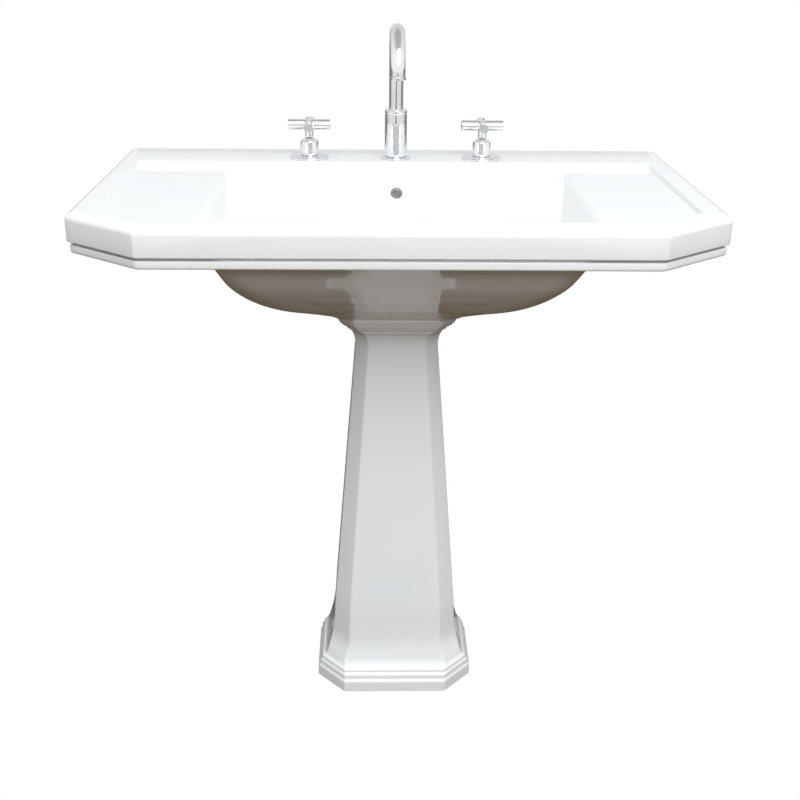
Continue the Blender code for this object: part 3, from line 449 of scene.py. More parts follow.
def cutOverflow(body):
    # a hole, a chamber behind it, and a passage that runs down inside the web to the waste
    high = basin["overflowHigh"]
    back = bowlAt(high)[2]
    carve(body, plug("overflowTool", basin["overflowHole"], -0.02, 0.016, (0, back, high),
                     (math.radians(-90 - basin["overflowTilt"]), 0, 0), 0.0018))
    chamber = Vector((0, back + basin["chamberBack"], high - basin["chamberDrop"]))
    letGo()
    bpy.ops.mesh.primitive_uv_sphere_add(segments=32, ring_count=16, radius=basin["chamber"],
                                         location=chamber)
    carve(body, named("chamberTool"))
    slot = basin["shell"][-1][4] + basin["seatThick"] / 2
    route = [chamber] + [Vector((0, row[2] + 0.020, row[4])) for row in basin["bowl"][1:4]]
    foot, mouth = basin["bowl"][4][2] + 0.008, basin["wasteY"] + basin["wasteHole"] - 0.003
    route += [Vector((0, foot, slot)), Vector((0, mouth, slot))]
    for start, end in zip(route, route[1:]):
        along = end - start
        turn = along.to_track_quat("Z", "Y").to_euler()
        far = along.length + basin["passage"] / 2
        carve(body, plug("passageTool", basin["passage"], 0, far, start, turn, 0, 24))


def makeBasin():
    body = makeBasinBody()
    carve(body, makeShell(), "UNION")
    rim, rear, under = basin["rim"], basin["rear"], basin["rim"] - basin["sink"] - basin["deckThick"]
    rail = cube("railTool", (-basin["railHalf"], rear - basin["railThick"] - 0.0004, basin["railLow"]),
                (basin["railHalf"], rear, under + 0.004), 0.003)
    carve(body, rail, "UNION")
    print("basin body joined")
    carve(body, makePockets(under))
    for x in (-basin["tapSpacing"] / 2, 0, basin["tapSpacing"] / 2):
        carve(body, plug("tapHoleTool", basin["tapHole"], rim - 0.05, rim + 0.02, (x, basin["tapLine"], 0)))
    cutOverflow(body)
    for x in (-basin["wallHoleX"], basin["wallHoleX"]):
        carve(body, plug("wallHoleTool", basin["wallHole"], -0.03, 0.03, (x, rear, basin["wallHoleHigh"]),
                         (math.pi / 2, 0, 0)))
    stand(settle(body, 30, False), "sink", "basin_china", "basin")
    print("basin done", len(body.data.polygons))


makeBasin()


# the china pedestal

pedestal = {
    "back": 0.070, "wall": 0.011, "slant": 1.10, "top": 0.6562, "neckHigh": 0.6012,
    "footHalf": 0.131, "footFront": 0.096, "footCut": 0.046, "flangeThick": 0.012, "flangeIn": 0.018,
    "edgeRound": 0.0055, "backRound": 0.003, "innerRound": 0.004,
    "footHoleX": 0.087, "footHoleY": 0.040, "footHole": 0.0045,
    # inset and height of the stepped plinth
    "plinth": [(0.0, 0.0), (0.0, 0.0190, 0.0016), (0.0030, 0.0225, 0.0012), (0.0035, 0.0300, 0.0014),
               (0.0070, 0.0340, 0.0016), (0.0070, 0.0380, 0.0014), (0.0130, 0.0430, 0.0030),
               (0.0165, 0.0500)],
    # half width, front, corner cut, height
    "flare": [(0.1145, 0.0795, 0.0295, 0.050), (0.107, 0.073, 0.030, 0.078), (0.1025, 0.0708, 0.027, 0.110),
              (0.101, 0.070, 0.026, 0.140)],
    "neck": (0.0645, 0.0375, 0.020), "cap": (0.0935, 0.0650, 0.026), "capHigh": 0.055,
    # share of the way out from the neck to the top edge, height above the neck, rounding
    "capital": [(0.005, 0.0030), (0.06, 0.0125, 0.009), (0.16, 0.0205, 0.007), (0.34, 0.0275, 0.004),
                (0.42, 0.0283, 0.0007), (0.45, 0.0312, 0.0010), (0.64, 0.0350, 0.0050),
                (0.82, 0.0408, 0.0060), (0.94, 0.0475, 0.0040), (1.00, 0.0532, 0.0014), (0.97, 0.0550)],
}


def pedestalRows():
    foot = [pedestal[key] for key in ("footHalf", "footFront", "footCut")]
    rows = [(*[size - inset for size in foot], z) for inset, z in softened(pedestal["plinth"], False, 3)]
    rows += [tuple(row) for row in fairRows(pedestal["flare"], 5)[1:]]
    low, neck = pedestal["flare"][-1], (*pedestal["neck"], pedestal["neckHigh"])
    rows += [between(low, neck, step / 12) for step in range(1, 13)]
    # a cove up from the neck, a small nosing, then a rounded slope out to the top edge
    rise = pedestal["top"] - pedestal["neckHigh"]
    for grow, up in softened(pedestal["capital"], False, 4):
        rows.append((*between(neck[:3], pedestal["cap"], grow), neck[3] + rise * up / pedestal["capHigh"]))
    return rows


def halfOctagon(half, front, cut):
    side = cut * pedestal["slant"] - front
    return mirrored([(-half, pedestal["back"]), (-half, side), (cut - half, -front)])


def pedestalLoop(row, inner, z):
    # the open-backed section: round the outside, then back along the inside
    outline = halfOctagon(*row) + halfOctagon(*inner)[::-1]
    edge, back, inside = pedestal["edgeRound"], pedestal["backRound"], pedestal["innerRound"]
    radii = [back] + [edge] * 4 + [back, back] + [inside] * 4 + [back]
    return cornerLoop(outline, radii, [5] * 12, [4, 3, 8, 3, 4, 2] * 2, z)


def makePedestal():
    rows = pedestalRows()
    wall, thick, inward = pedestal["wall"], pedestal["flangeThick"], pedestal["flangeIn"]
    wide = next(row for row in rows if row[3] > 0.0775)
    hollow = (wide[0] - wall, wide[1] - wall, wide[2] - wall / 2)
    flange = (hollow[0] - inward, hollow[1] - inward, hollow[2] - 0.006)
    loops = [pedestalLoop(row[:3], flange, row[3]) for row in rows if row[3] < thick]
    loops += [pedestalLoop(rows[0][:3], flange, thick), pedestalLoop(rows[0][:3], hollow, thick + 0.0001)]
    for half, front, cut, z in rows[len(loops) - 2:]:
        inner = hollow if z < wide[3] else (half - wall, front - wall, cut - wall / 2)
        loops.append(pedestalLoop((half, front, cut), inner, z))
    body = skinned("pedestalChina", loops, False)
    for x in (-pedestal["footHoleX"], pedestal["footHoleX"]):
        spot = (x, pedestal["footHoleY"], 0)
        carve(body, plug("footHoleTool", pedestal["footHole"], -0.02, 0.03, spot, sides=32))
    stand(settle(body, 30, False), "sink", "pedestal_china", "pedestal")
    print("pedestal done", len(body.data.polygons))


makePedestal()


# the taps

taps = {
    "rim": 0.850, "line": 0.199, "spacing": 0.284, "gap": 0.0003, "under": 0.830,
    "plate": 0.0315, "plateThick": 0.0042, "bonnet": 0.0145, "bonnetTop": 0.032,
    "spindle": 0.004, "stem": 0.0065, "bar": 0.00825, "reachBar": 0.0080, "barLong": 0.068, "barHigh": 0.054,
    "thread": 0.013, "tail": 0.0103, "tailDrop": 0.110, "bodyTop": 0.024, "seatDrop": 0.019,
    "bodyBore": 0.006, "portDrop": 0.055, "port": 0.008, "portBore": 0.005, "portReach": 0.030,
    "teeReach": 0.026, "cartridge": 0.009, "screwHole": 0.0018,
    "nutHalf": 0.019, "nutThick": 0.008, "washer": 0.021, "washerThick": 0.003,
    "unionHalf": 0.011, "unionLong": 0.018, "hose": 0.006, "hoseSag": 0.003, "hoseSteps": 40,
    "pitch": 0.0014, "threadDeep": 0.0006,
}


def threads(radius, low, high):
    # ridge after ridge up a threaded length
    turns = int((high - low) / taps["pitch"])
    points = []
    for i in range(turns):
        z = low + i * taps["pitch"]
        points += [(radius - taps["threadDeep"], z), (radius, z + taps["pitch"] * 0.4),
                   (radius, z + taps["pitch"] * 0.6)]
    return points + [(radius - taps["threadDeep"], low + turns * taps["pitch"])]


def hexNut(name, half, bore, low, high, place, turn=(0, 0, 0)):
    # a six-sided bar, its corners turned off at both ends, bored and countersunk
    letGo()
    corner = half / math.cos(math.pi / 6)
    bpy.ops.mesh.primitive_cylinder_add(vertices=6, radius=corner, depth=high - low,
                                        location=(0, 0, (low + high) / 2))
    nut = named(name)
    bpy.ops.object.mode_set(mode="EDIT")
    bpy.ops.mesh.select_all(action="SELECT")
    bpy.ops.mesh.bevel(offset=0.0003, segments=2, affect="EDGES")
    bpy.ops.object.mode_set(mode="OBJECT")
    settle(nut)
    edge, wide, face = (high - low) * 0.10 * 1.6, corner * 1.01, half * 0.96
    blank = [(face, low), (wide, low + edge), (wide, high - edge), (face, high)]
    carve(nut, turned(name + "Blank", blank, closed=False), "INTERSECT")
    sink = 0.0008
    mouth = bore + sink * 2
    hole = [(mouth, low - sink), (bore, low + sink), (bore, high - sink), (mouth, high + sink)]
    carve(nut, turned(name + "Bore", hole, closed=False))
    nut.location = place
    nut.rotation_euler = turn
    return settle(nut, 30)


def coverPlate(name, x, radius, thick):
    low = taps["rim"] + taps["gap"]
    bore = taps["thread"] + taps["gap"]
    profile = [(bore, low, 0.0002), (radius - 0.0002, low, 0.0002), (radius, low + thick * 0.15, 0.0004),
               (radius, low + thick * 0.50, 0.0009), (radius - 0.0020, low + thick * 0.90, 0.0014),
               (radius - 0.0050, low + thick, 0.0012), (bore, low + thick, 0.0002)]
    stand(turned(name + "Dome", profile, (x, taps["line"], 0), sides=96), "sink", "chrome", name)


def fixingSet(prefix, x):
    place = (x, taps["line"], 0)
    top, thick = taps["under"] - taps["gap"], taps["washerThick"]
    bore = taps["thread"] + taps["gap"]
    washer = ring(bore, taps["washer"], top - thick, top, [0.0008] * 4)
    stand(turned(prefix + "_rubber_washer_soft", washer, place), "sink", "rubber", prefix + "_rubber_washer")
    top -= thick + taps["gap"]
    nut = hexNut(prefix + "_backnut_cut", taps["nutHalf"], bore, top - taps["nutThick"], top, place)
    stand(nut, "sink", "brass", prefix + "_backnut")


def portBore(body, reach, spot, turn):
    carve(body, plug("portBore", taps["portBore"], 0.003, reach + 0.01, spot, turn, sides=32))


def makeBody(prefix, x, inward):
    # the brass valve body: a plain seat above, threads through the ledge, a side port, a threaded tail
    rim, gap, thread, bore, small = (taps[key] for key in ("rim", "gap", "thread", "bodyBore", "port"))
    plateTop = rim + gap + taps["plateThick"]
    top, seat, tail, port = (rim + taps["bodyTop"], rim - taps["seatDrop"], rim - taps["tailDrop"],
                             rim - taps["portDrop"])
    shoulder = port - small - 0.007
    inner, plain = taps["cartridge"] + gap, thread - 0.0014
    profile = [(bore, tail, 0.0004)] + threads(taps["tail"], tail + 0.001, shoulder - 0.008)
    profile += [(taps["tail"] - 0.0004, shoulder), (thread - 0.0008, shoulder, 0.0003),
                (thread, shoulder + 0.001), (thread, port + small + 0.003)]
    profile += threads(thread, port + small + 0.004, plateTop + 0.002)
    profile += [(plain, plateTop + 0.003), (plain, top, 0.0003), (inner, top), (inner, seat), (bore, seat)]
    body = turned(prefix + "_valve_body_turned", profile, (x, taps["line"], 0), sides=48)
    side, reach = (x, taps["line"], port), taps["portReach"]
    turn = (0, inward * math.pi / 2, 0)
    spigot = [(small, 0.0095), (small, reach - 0.0006, 0.0006), (small - 0.0010, reach)]
    carve(body, turned("spigot", spigot, side, turn, 48, False), "UNION")
    portBore(body, reach, side, turn)
    stand(settle(body, 30, False), "sink", "brass", prefix + "_valve_body")


def makeBonnet(prefix, x):
    rim, gap, radius = taps["rim"], taps["gap"], taps["bonnet"]
    low, high = rim + gap * 2 + taps["plateThick"], rim + taps["bonnetTop"]
    inner, neck = taps["thread"] + gap, taps["spindle"] + gap + 0.001
    profile = [(inner, low, 0.0002), (radius, low, 0.0004), (radius, high - 0.0045, 0.0010),
               (radius - 0.0015, high - 0.0030, 0.0006), (radius - 0.0035, high - 0.0030, 0.0006),
               (radius - 0.0060, high, 0.0008), (neck, high, 0.0002), (neck, high - 0.0048),
               (inner, high - 0.0048)]
    bonnet = turned(prefix + "_bonnet_turned", profile, (x, taps["line"], 0), sides=80)
    stand(bonnet, "sink", "chrome", prefix + "_bonnet")


def makeHandle(prefix, x):
    # a stem and two crossed bars with eased ends
    bar, radius = taps["rim"] + taps["barHigh"], taps["stem"]
    low = taps["rim"] + taps["bonnetTop"] + 0.0015
    place = (x, taps["line"], bar)
    profile = [(radius - 0.0006, low - bar), (radius, low - bar + 0.0006), (radius, 0.004)]
    handle = turned(prefix + "_handle_cross", profile, place, closed=False)
    end = taps["barLong"] / 2
    for radius, turn in ((taps["bar"], (0, math.pi / 2, 0)), (taps["reachBar"], (math.pi / 2, 0, 0))):
        face = radius - 0.0016
        profile = [(face, -end), (radius, -end, 0.0011), (radius, end, 0.0011), (face, end)]
        carve(handle, turned("bar", profile, place, turn, 64, False, 5), "UNION")
    carve(handle, plug("hubBore", taps["spindle"] + taps["gap"], low - bar - 0.01, -0.0037, place, sides=32))
    spot = (x, taps["line"], low + 0.0055)
    carve(handle, plug("screwHole", taps["screwHole"], 0.003, 0.012, spot, (-math.pi / 2, 0, 0), sides=24))
    stand(settle(handle, 32, False), prefix + "_control", "chrome", prefix + "_handle")


def makeHose(prefix, side):
    # a short braided hose, a little slack in the middle, with its wrap for the weave
    line, port, radius, steps = taps["line"], taps["rim"] - taps["portDrop"], taps["hose"], taps["hoseSteps"]
    start = taps["teeReach"] + taps["gap"]
    end = taps["spacing"] / 2 - taps["portReach"] - taps["gap"]
    profile = [(radius - 0.0008, 0)]
    profile += [(radius, 0.0006 + (end - start - 0.0012) * i / steps) for i in range(steps + 1)]
    profile.append((radius - 0.0008, end - start))
    hose = turned(prefix + "_link_hose_braided", profile, (side * start, line, port),
                  (0, side * math.pi / 2, 0), 32, False)
    mesh = hose.data
    wrap = mesh.uv_layers.new(name="wrap")
    for vert in mesh.vertices:
        share = min(1, max(0, (abs(vert.co.x) - start) / (end - start)))
        ease = share * share * (3 - 2 * share)
        vert.co.z -= taps["hoseSag"] * math.sin(math.pi * ease) ** 2
    for face in mesh.polygons:
        spots = [mesh.vertices[mesh.loops[index].vertex_index].co for index in face.loop_indices]
        around = [math.atan2(spot.z - port, spot.y - line) / math.tau for spot in spots]
        wide = max(around) - min(around) > 0.5
        for index, turn, spot in zip(face.loop_indices, around, spots):
            wrap.data[index].uv = (turn + 1 if wide and turn < 0 else turn, abs(spot.x) / (math.tau * radius))
    stand(hose, "sink", "braid", prefix + "_link_hose")


def makeUnions(prefix, side):
    # a union nut at each end of the link hose
    port, bore, low = taps["rim"] - taps["portDrop"], taps["port"] + taps["gap"], -0.008
    far = taps["spacing"] / 2 - taps["portReach"]
    for end, x, away in (("tee", taps["teeReach"], 1), ("valve", far, -1)):
        nut = hexNut(f"{prefix}_{end}_union_cut", taps["unionHalf"], bore, low, low + taps["unionLong"],
                     (side * x, taps["line"], port), (0, side * away * math.pi / 2, 0))
        stand(nut, "sink", "brass", f"{prefix}_{end}_union_nut")


for prefix, side in (("hot", -1), ("cold", 1)):
    x = side * taps["spacing"] / 2
    coverPlate(prefix + "_escutcheon", x, taps["plate"], taps["plateThick"])
    makeBody(prefix, x, -side)
    makeBonnet(prefix, x)
    makeHandle(prefix, x)
    fixingSet(prefix, x)
    makeHose(prefix, side)
    makeUnions(prefix, side)
    print(prefix, "tap done")


# the spout

spout = {
    "plate": 0.024, "plateThick": 0.0035, "body": 0.018, "bodyTop": 0.079, "tube": 0.0115, "wall": 0.002,
    "bend": 0.057, "rise": 0.1485, "drop": 0.0035, "ring": 0.0015, "chamber": 0.0123, "shankTop": 0.014,
    "waterway": 0.0075, "seat": 0.004, "stopHigh": 0.019, "stopScrew": 0.0020,
    "aerator": 0.005, "sprayHole": 0.0008, "sprayRings": ((0.0, 1), (0.0028, 6), (0.0056, 12)),
}


def makeSpoutBody(plateTop, shankTop, top):
    line, gap, radius, chamber = taps["line"], taps["gap"], spout["body"], spout["chamber"]
    inner, bore, groove, way = taps["thread"] + gap, spout["tube"] + gap, radius - 0.0004, spout["waterway"]
    seat = shankTop + spout["seat"]
    profile = [(inner, plateTop + gap, 0.0002), (radius, plateTop + gap, 0.0005),
               (radius, top - 0.0062, 0.0003), (groove, top - 0.0059, 0.0002), (groove, top - 0.0054, 0.0002),
               (radius, top - 0.0051, 0.0003), (radius, top - 0.0012, 0.0008), (radius - 0.0014, top, 0.0008),
               (bore, top, 0.0004), (bore, top - 0.004), (chamber, top - 0.004), (chamber, seat), (way, seat),
               (way, shankTop + gap), (inner, shankTop + gap)]
    made = turned("spout_body_turned", profile, (0, line, 0), sides=96)
    high = shankTop + spout["stopHigh"]
    carve(made, plug("stopHole", spout["stopScrew"] + gap, chamber - 0.001, radius + 0.002, (0, line, high),
                     (-math.pi / 2, 0, 0), sides=32))
    stand(settle(made, 32, False), "sink", "chrome", "spout_body")


def makeSpoutTube(low, bodyTop):
    # one ring drawn up, spun over the bend and drawn down, then given its wall
    line, foot = taps["line"], spout["tube"] - spout["ring"]
    centre = taps["rim"] + spout["rise"]
    shoulder, ratio = bodyTop - 0.029, spout["tube"] / foot
    letGo()
    bpy.ops.mesh.primitive_circle_add(vertices=64, radius=foot, location=(0, line, low))
    tube = named("spout_tube_swept")
    bpy.ops.object.mode_set(mode="EDIT")
    bpy.ops.mesh.select_mode(type="EDGE")
    at = low
    for z in (bodyTop - 0.030, shoulder, bodyTop + 0.001, centre - 0.001, centre):
        bpy.ops.mesh.extrude_edges_move(TRANSFORM_OT_translate={"value": (0, 0, z - at)})
        if z == shoulder:
            bpy.ops.transform.resize(value=(ratio, ratio, 1), center_override=(0, line, z))
        at = z
    bpy.ops.mesh.spin(steps=72, angle=math.pi, center=(0, line - spout["bend"], centre), axis=(-1, 0, 0))
    bpy.ops.mesh.extrude_edges_move(TRANSFORM_OT_translate={"value": (0, 0, -spout["drop"])})
    bpy.ops.mesh.select_all(action="SELECT")
    bpy.ops.mesh.remove_doubles(threshold=1e-6)
    bpy.ops.mesh.normals_make_consistent(inside=False)
    bpy.ops.object.mode_set(mode="OBJECT")
    bpy.ops.object.modifier_add(type="SOLIDIFY")
    wall = tube.modifiers[-1]
    wall.thickness = spout["wall"]
    wall.offset = -1
    bpy.ops.object.modifier_apply(modifier=wall.name)
    stand(settle(tube), "swivel_spout", "chrome", "spout_tube")


def makeNozzle():
    # a plain ring, and a disc with its holes
    gap, wide = taps["gap"], spout["tube"] + 0.0010
    place = (0, taps["line"] - 2 * spout["bend"], 0)
    end = taps["rim"] + spout["rise"] - spout["drop"] - gap
    low, top = end - spout["aerator"], end + 0.005
    grip, bore = spout["tube"] - 0.0028, spout["tube"] - spout["wall"] - gap
    profile = [(grip, low, 0.0003), (wide, low, 0.0008), (wide, end, 0.0006), (bore, end, 0.0002),
               (bore, top, 0.0003), (grip, top, 0.0002)]
    stand(turned("aerator_ring", profile, place, sides=80), "swivel_spout", "chrome", "aerator_housing")
    profile = [(grip - gap - 0.0003, low + 0.0006), (grip - gap, low + 0.0010), (grip - gap, end + 0.0035)]
    disc = turned("aerator_disc", profile, place, closed=False)
    for away, count in spout["sprayRings"]:
        for i in range(count):
            angle = math.tau * i / count
            spot = (away * math.cos(angle), place[1] + away * math.sin(angle), low)
            carve(disc, plug("sprayHole", spout["sprayHole"], -0.001, 0.003, spot, sides=12))
    stand(settle(disc, 32, False), "swivel_spout", "aerator_plastic", "aerator_insert")


def makeShank(plateTop, shankTop):
    # threads through the ledge, and below it a tee with a port each way
    line, thread, small, reach = taps["line"], taps["thread"], taps["port"], taps["teeReach"]
    port = taps["rim"] - taps["portDrop"]
    low, plain = port - small - 0.005, thread - 0.0004
    profile = [(thread - 0.0010, low), (thread, low + 0.0010), (thread, port + small + 0.003)]
    profile += threads(thread, port + small + 0.004, plateTop + 0.004)
    profile += [(plain, plateTop + 0.0052), (plain, shankTop - 0.0006), (thread - 0.0010, shankTop)]
    shank = turned("spout_shank_turned", profile, (0, line, 0), sides=48, closed=False)
    spot, turns = (0, line, port), [(0, side * math.pi / 2, 0) for side in (-1, 1)]
    spigot = [(small, 0.0095), (small, reach - 0.0006), (small - 0.0010, reach)]
    for turn in turns:
        carve(shank, turned("teeSpigot", spigot, spot, turn, 48, False), "UNION")
    for turn in turns:
        portBore(shank, reach, spot, turn)
    low = port - taps["portBore"] + 0.0005
    carve(shank, plug("shankBore", spout["waterway"], low, shankTop + 0.01, (0, line, 0), sides=48))
    stand(settle(shank, 30, False), "sink", "brass", "spout_shank")


def makeSpout():
    rim, gap = taps["rim"], taps["gap"]
    plateTop = rim + gap + spout["plateThick"]
    shankTop, top = plateTop + spout["shankTop"], rim + spout["bodyTop"]
    coverPlate("spout_escutcheon", 0, spout["plate"], spout["plateThick"])
    makeSpoutBody(plateTop, shankTop, top)
    makeSpoutTube(shankTop + spout["seat"] + gap, top)
    makeNozzle()
    makeShank(plateTop, shankTop)
    fixingSet("spout", 0)


makeSpout()
print("spout done")


# the waste

waste = {
    "y": 0.008, "radius": 0.021, "bore": 0.0175, "flange": 0.032, "long": 0.110, "nutHalf": 0.026,
    "plug": 0.0285, "lift": 0.008, "seat": 0.684, "seatThick": 0.0275, "washer": 0.0015, "gap": 0.0003,
    "slotHalf": 0.008, "slotHigh": 0.0055, "bridgeHalf": 0.0025, "boss": 0.006, "bossBore": 0.0033,
    "lowWasher": 0.004, "nutThick": 0.008,
}


def makeWasteBody(flange, bottom, bridge):
    # the flanged tube with its thread, its overflow slots, and the bridge that holds the plug's post
    place, middle = (0, waste["y"], 0), waste["seat"] - waste["seatThick"] * 0.5
    radius, bore, wide, half = waste["radius"], waste["bore"], waste["flange"], waste["slotHalf"]
    tail = flange - waste["long"]
    profile = [(bore, tail, 0.0004), (radius - 0.0006, tail, 0.0004), (radius, tail + 0.001)]
    profile += threads(radius, tail + 0.030, bottom - 0.002)
    profile += [(radius, bottom), (radius, flange, 0.0004), (wide, flange, 0.0005),
                (wide, flange + 0.0014, 0.0008), (wide - 0.0030, flange + 0.0030, 0.0016),
                (bore + 0.0060, flange + 0.0022, 0.0030), (bore, flange - 0.0035, 0.0020)]
    body = turned("waste_body_turned", profile, place, sides=96)
    carve(body, cube("slotTool", (-half, waste["y"] - 0.03, middle - waste["slotHigh"]),
                     (half, waste["y"] + 0.03, middle + waste["slotHigh"]), 0.002))
    half = waste["bridgeHalf"]
    carve(body, cube("bridgeTool", (-bore - 0.001, waste["y"] - half, bridge - 0.006),
                     (bore + 0.001, waste["y"] + half, bridge), 0.0006), "UNION")
    carve(body, plug("bossTool", waste["boss"], bridge - 0.0065, bridge + 0.0005, place, sides=48), "UNION")
    carve(body, plug("bossBore", waste["bossBore"], bridge - 0.02, bridge + 0.02, place, sides=32))
    stand(settle(body, 30, False), "sink", "chrome", "waste_body")


def makePlug(low, sleeve):
    # a domed cap on a sleeve, and its seal
    wide, top, place = waste["plug"], low + 0.0052, (0, waste["y"], 0)
    profile = [(0.0004, low + 0.0008), (0.0042, low + 0.0008), (0.0042, sleeve, 0.0003),
               (0.0062, sleeve, 0.0003), (0.0062, low, 0.0004), (wide, low, 0.0006),
               (wide, low + 0.0022, 0.0010), (wide - 0.0060, low + 0.0042, 0.0050), (0.0050, top, 0.0020),
               (0.0004, top)]
    cap = turned("waste_plug_turned", profile, place, sides=96, closed=False)
    stand(cap, "plug", "chrome", "waste_plug")
    top = low - waste["gap"]
    seal = ring(0.0065, waste["bore"] - 0.0005, top - 0.0020, top, (0.0003, 0.0007, 0.0005, 0.0003))
    stand(turned("plug_seal_soft", seal, place), "plug", "rubber", "plug_seal")


def makeWaste():
    gap, seat, place = waste["gap"], waste["seat"], (0, waste["y"], 0)
    bottom, flange = seat - waste["seatThick"], seat + 2 * gap + waste["washer"]
    bore, bridge = waste["radius"] + gap, bottom + 0.002
    upper = ring(bore, waste["flange"] - 0.002, seat + gap, seat + gap + waste["washer"], [0.0004] * 4)
    stand(turned("waste_top_washer_soft", upper, place), "sink", "rubber", "waste_top_washer")
    makeWasteBody(flange, bottom, bridge)
    makePlug(flange + 0.0030 + waste["lift"], bridge + 0.0038 + waste["lift"])
    top, thick = bottom - gap, waste["lowWasher"]
    lower = ring(bore, waste["nutHalf"] + 0.002, top - thick, top, (0.0008, 0.0010, 0.0008, 0.0006))
    stand(turned("waste_bottom_washer_soft", lower, place), "sink", "rubber", "waste_bottom_washer")
    top -= thick + gap
    nut = hexNut("waste_backnut_cut", waste["nutHalf"], bore, top - waste["nutThick"], top, place)
    stand(nut, "sink", "brass", "waste_backnut")


makeWaste()
print("waste done")


# the bottle trap

trap = {
    "radius": 0.027, "wall": 0.0045, "top": 0.590, "long": 0.080, "dip": 0.030, "dipBore": 0.0135,
    "cup": 0.030, "cupLong": 0.066, "cupThread": 0.014, "nutHalf": 0.0265, "nutLong": 0.018,
    "outlet": 0.016, "pipeWall": 0.0018, "outletDrop": 0.040, "outletBore": 0.0125, "socket": 0.018,
    "socketWall": 0.0028, "socketDeep": 0.016, "rose": 0.034, "ribs": 18,
}


def makeTrapBody(place, outlet, backwards, inside, thread, stop):
    # the inlet socket with its dip tube, the chamber, and the outlet socket at the back
    gap, radius, wall, dipBore = waste["gap"], trap["radius"], trap["socketWall"], trap["dipBore"]
    top, low = trap["top"], trap["top"] - trap["long"]
    tail = waste["seat"] + 2 * gap + waste["washer"] - waste["long"]
    socket, dipWide = waste["radius"] + gap, dipBore + 0.0020
    ceiling, dip = tail - gap - 0.008, low - trap["dip"]
    profile = [(dipBore, dip, 0.0004), (dipWide, dip, 0.0004), (dipWide, ceiling), (inside, ceiling),
               (inside, low)]
    profile += threads(thread, low + 0.0005, low + 0.0138)
    profile += [(radius - 0.0004, low + 0.014), (radius, low + 0.0148), (radius, top - 0.022, 0.0030),
                (socket + wall, top - 0.018, 0.0030), (socket + wall, top, 0.0006), (socket, top, 0.0006),
                (socket, tail - gap), (dipBore, tail - gap)]
    body = turned("trap_body_moulded", profile, place, sides=80)
    bore, end = trap["outlet"] + gap, radius + trap["socket"]
    collar = [(bore + wall, 0.0172), (bore + wall, end - 0.0010), (bore + 0.0018, end)]
    carve(body, turned("socketTool", collar, outlet, backwards, 64, False), "UNION")
    carve(body, plug("socketBore", bore, stop, end + 0.01, outlet, backwards))
    carve(body, plug("outletBore", trap["outletBore"], 0.0162, end, outlet, backwards))
    stand(settle(body, 30, False), "sink", "trap_plastic", "trap_body")
    nut = hexNut("trap_inlet_nut_moulded", trap["nutHalf"], socket, top + gap, top + trap["nutLong"], place)
    stand(nut, "sink", "trap_plastic", "trap_inlet_nut")


def makeTrapCup(place, inside, thread):
    # the cup that screws on from below, with grip ribs round it
    gap, wide, low = waste["gap"], trap["cup"], trap["top"] - trap["long"]
    ledge, rim = low - 2 * gap - 0.0020, low + trap["cupThread"] - gap
    bottom = rim - trap["cupLong"]
    floor, bore, side = bottom + 0.003, thread + gap, wide - 0.0012
    profile = [(0.0004, floor), (inside - 0.0060, floor, 0.0040), (inside, floor + 0.0080, 0.0040),
               (inside, ledge), (bore, ledge), (bore, rim, 0.0004), (side, rim, 0.0006),
               (side, bottom + 0.0100, 0.0040), (wide - 0.0030, bottom + 0.0050, 0.0050),
               (wide - 0.0090, bottom, 0.0040), (0.0004, bottom)]
    cup = turned("trap_cup_moulded", profile, place, sides=96, closed=False)
    for i in range(trap["ribs"]):
        rib = cube("rib", (wide - 0.0030, -0.0016, rim - 0.030), (wide, 0.0016, rim - 0.0015), 0.0009, 2)
        rib.rotation_euler = (0, 0, math.tau * i / trap["ribs"])
        rib.location = place
        carve(cup, settle(rib), "UNION")
    stand(settle(cup, 30, False), "sink", "trap_plastic", "trap_cup")


def makeOutlet(outlet, backwards, stop):
    # the pipe to the wall, its nut, and the rose where it meets the wall
    gap, radius, wide = waste["gap"], trap["outlet"], trap["rose"]
    bore, end, wall = radius + gap, trap["radius"] + trap["socket"], basin["rear"] - waste["y"] - gap
    pipe = ring(radius - trap["pipeWall"], radius, stop + gap, wall, [0.0003] * 4)
    stand(turned("outlet_pipe_drawn", pipe, outlet, backwards, 80), "sink", "chrome", "outlet_pipe")
    nut = hexNut("outlet_nut_moulded", radius + 0.0055, bore, end + gap, end + 0.013, outlet, backwards)
    stand(nut, "sink", "trap_plastic", "outlet_nut")
    rose = [(bore, wall - 0.009, 0.0004), (bore + 0.003, wall - 0.009, 0.0010),
            (wide - 0.005, wall - 0.005, 0.0040), (wide, wall - 0.001, 0.0010), (wide, wall), (bore, wall)]
    stand(turned("wall_rose_spun", rose, outlet, backwards, 96), "sink", "chrome", "wall_rose")


def makeTrap():
    place, backwards = (0, waste["y"], 0), (-math.pi / 2, 0, 0)
    outlet = (0, waste["y"], trap["top"] - trap["outletDrop"])
    inside, thread = trap["radius"] - trap["wall"], trap["radius"] - 0.0020
    stop = trap["radius"] + trap["socket"] - trap["socketDeep"]
    makeTrapBody(place, outlet, backwards, inside, thread, stop)
    makeTrapCup(place, inside, thread)
    makeOutlet(outlet, backwards, stop)


makeTrap()
print("trap done")


# finishes

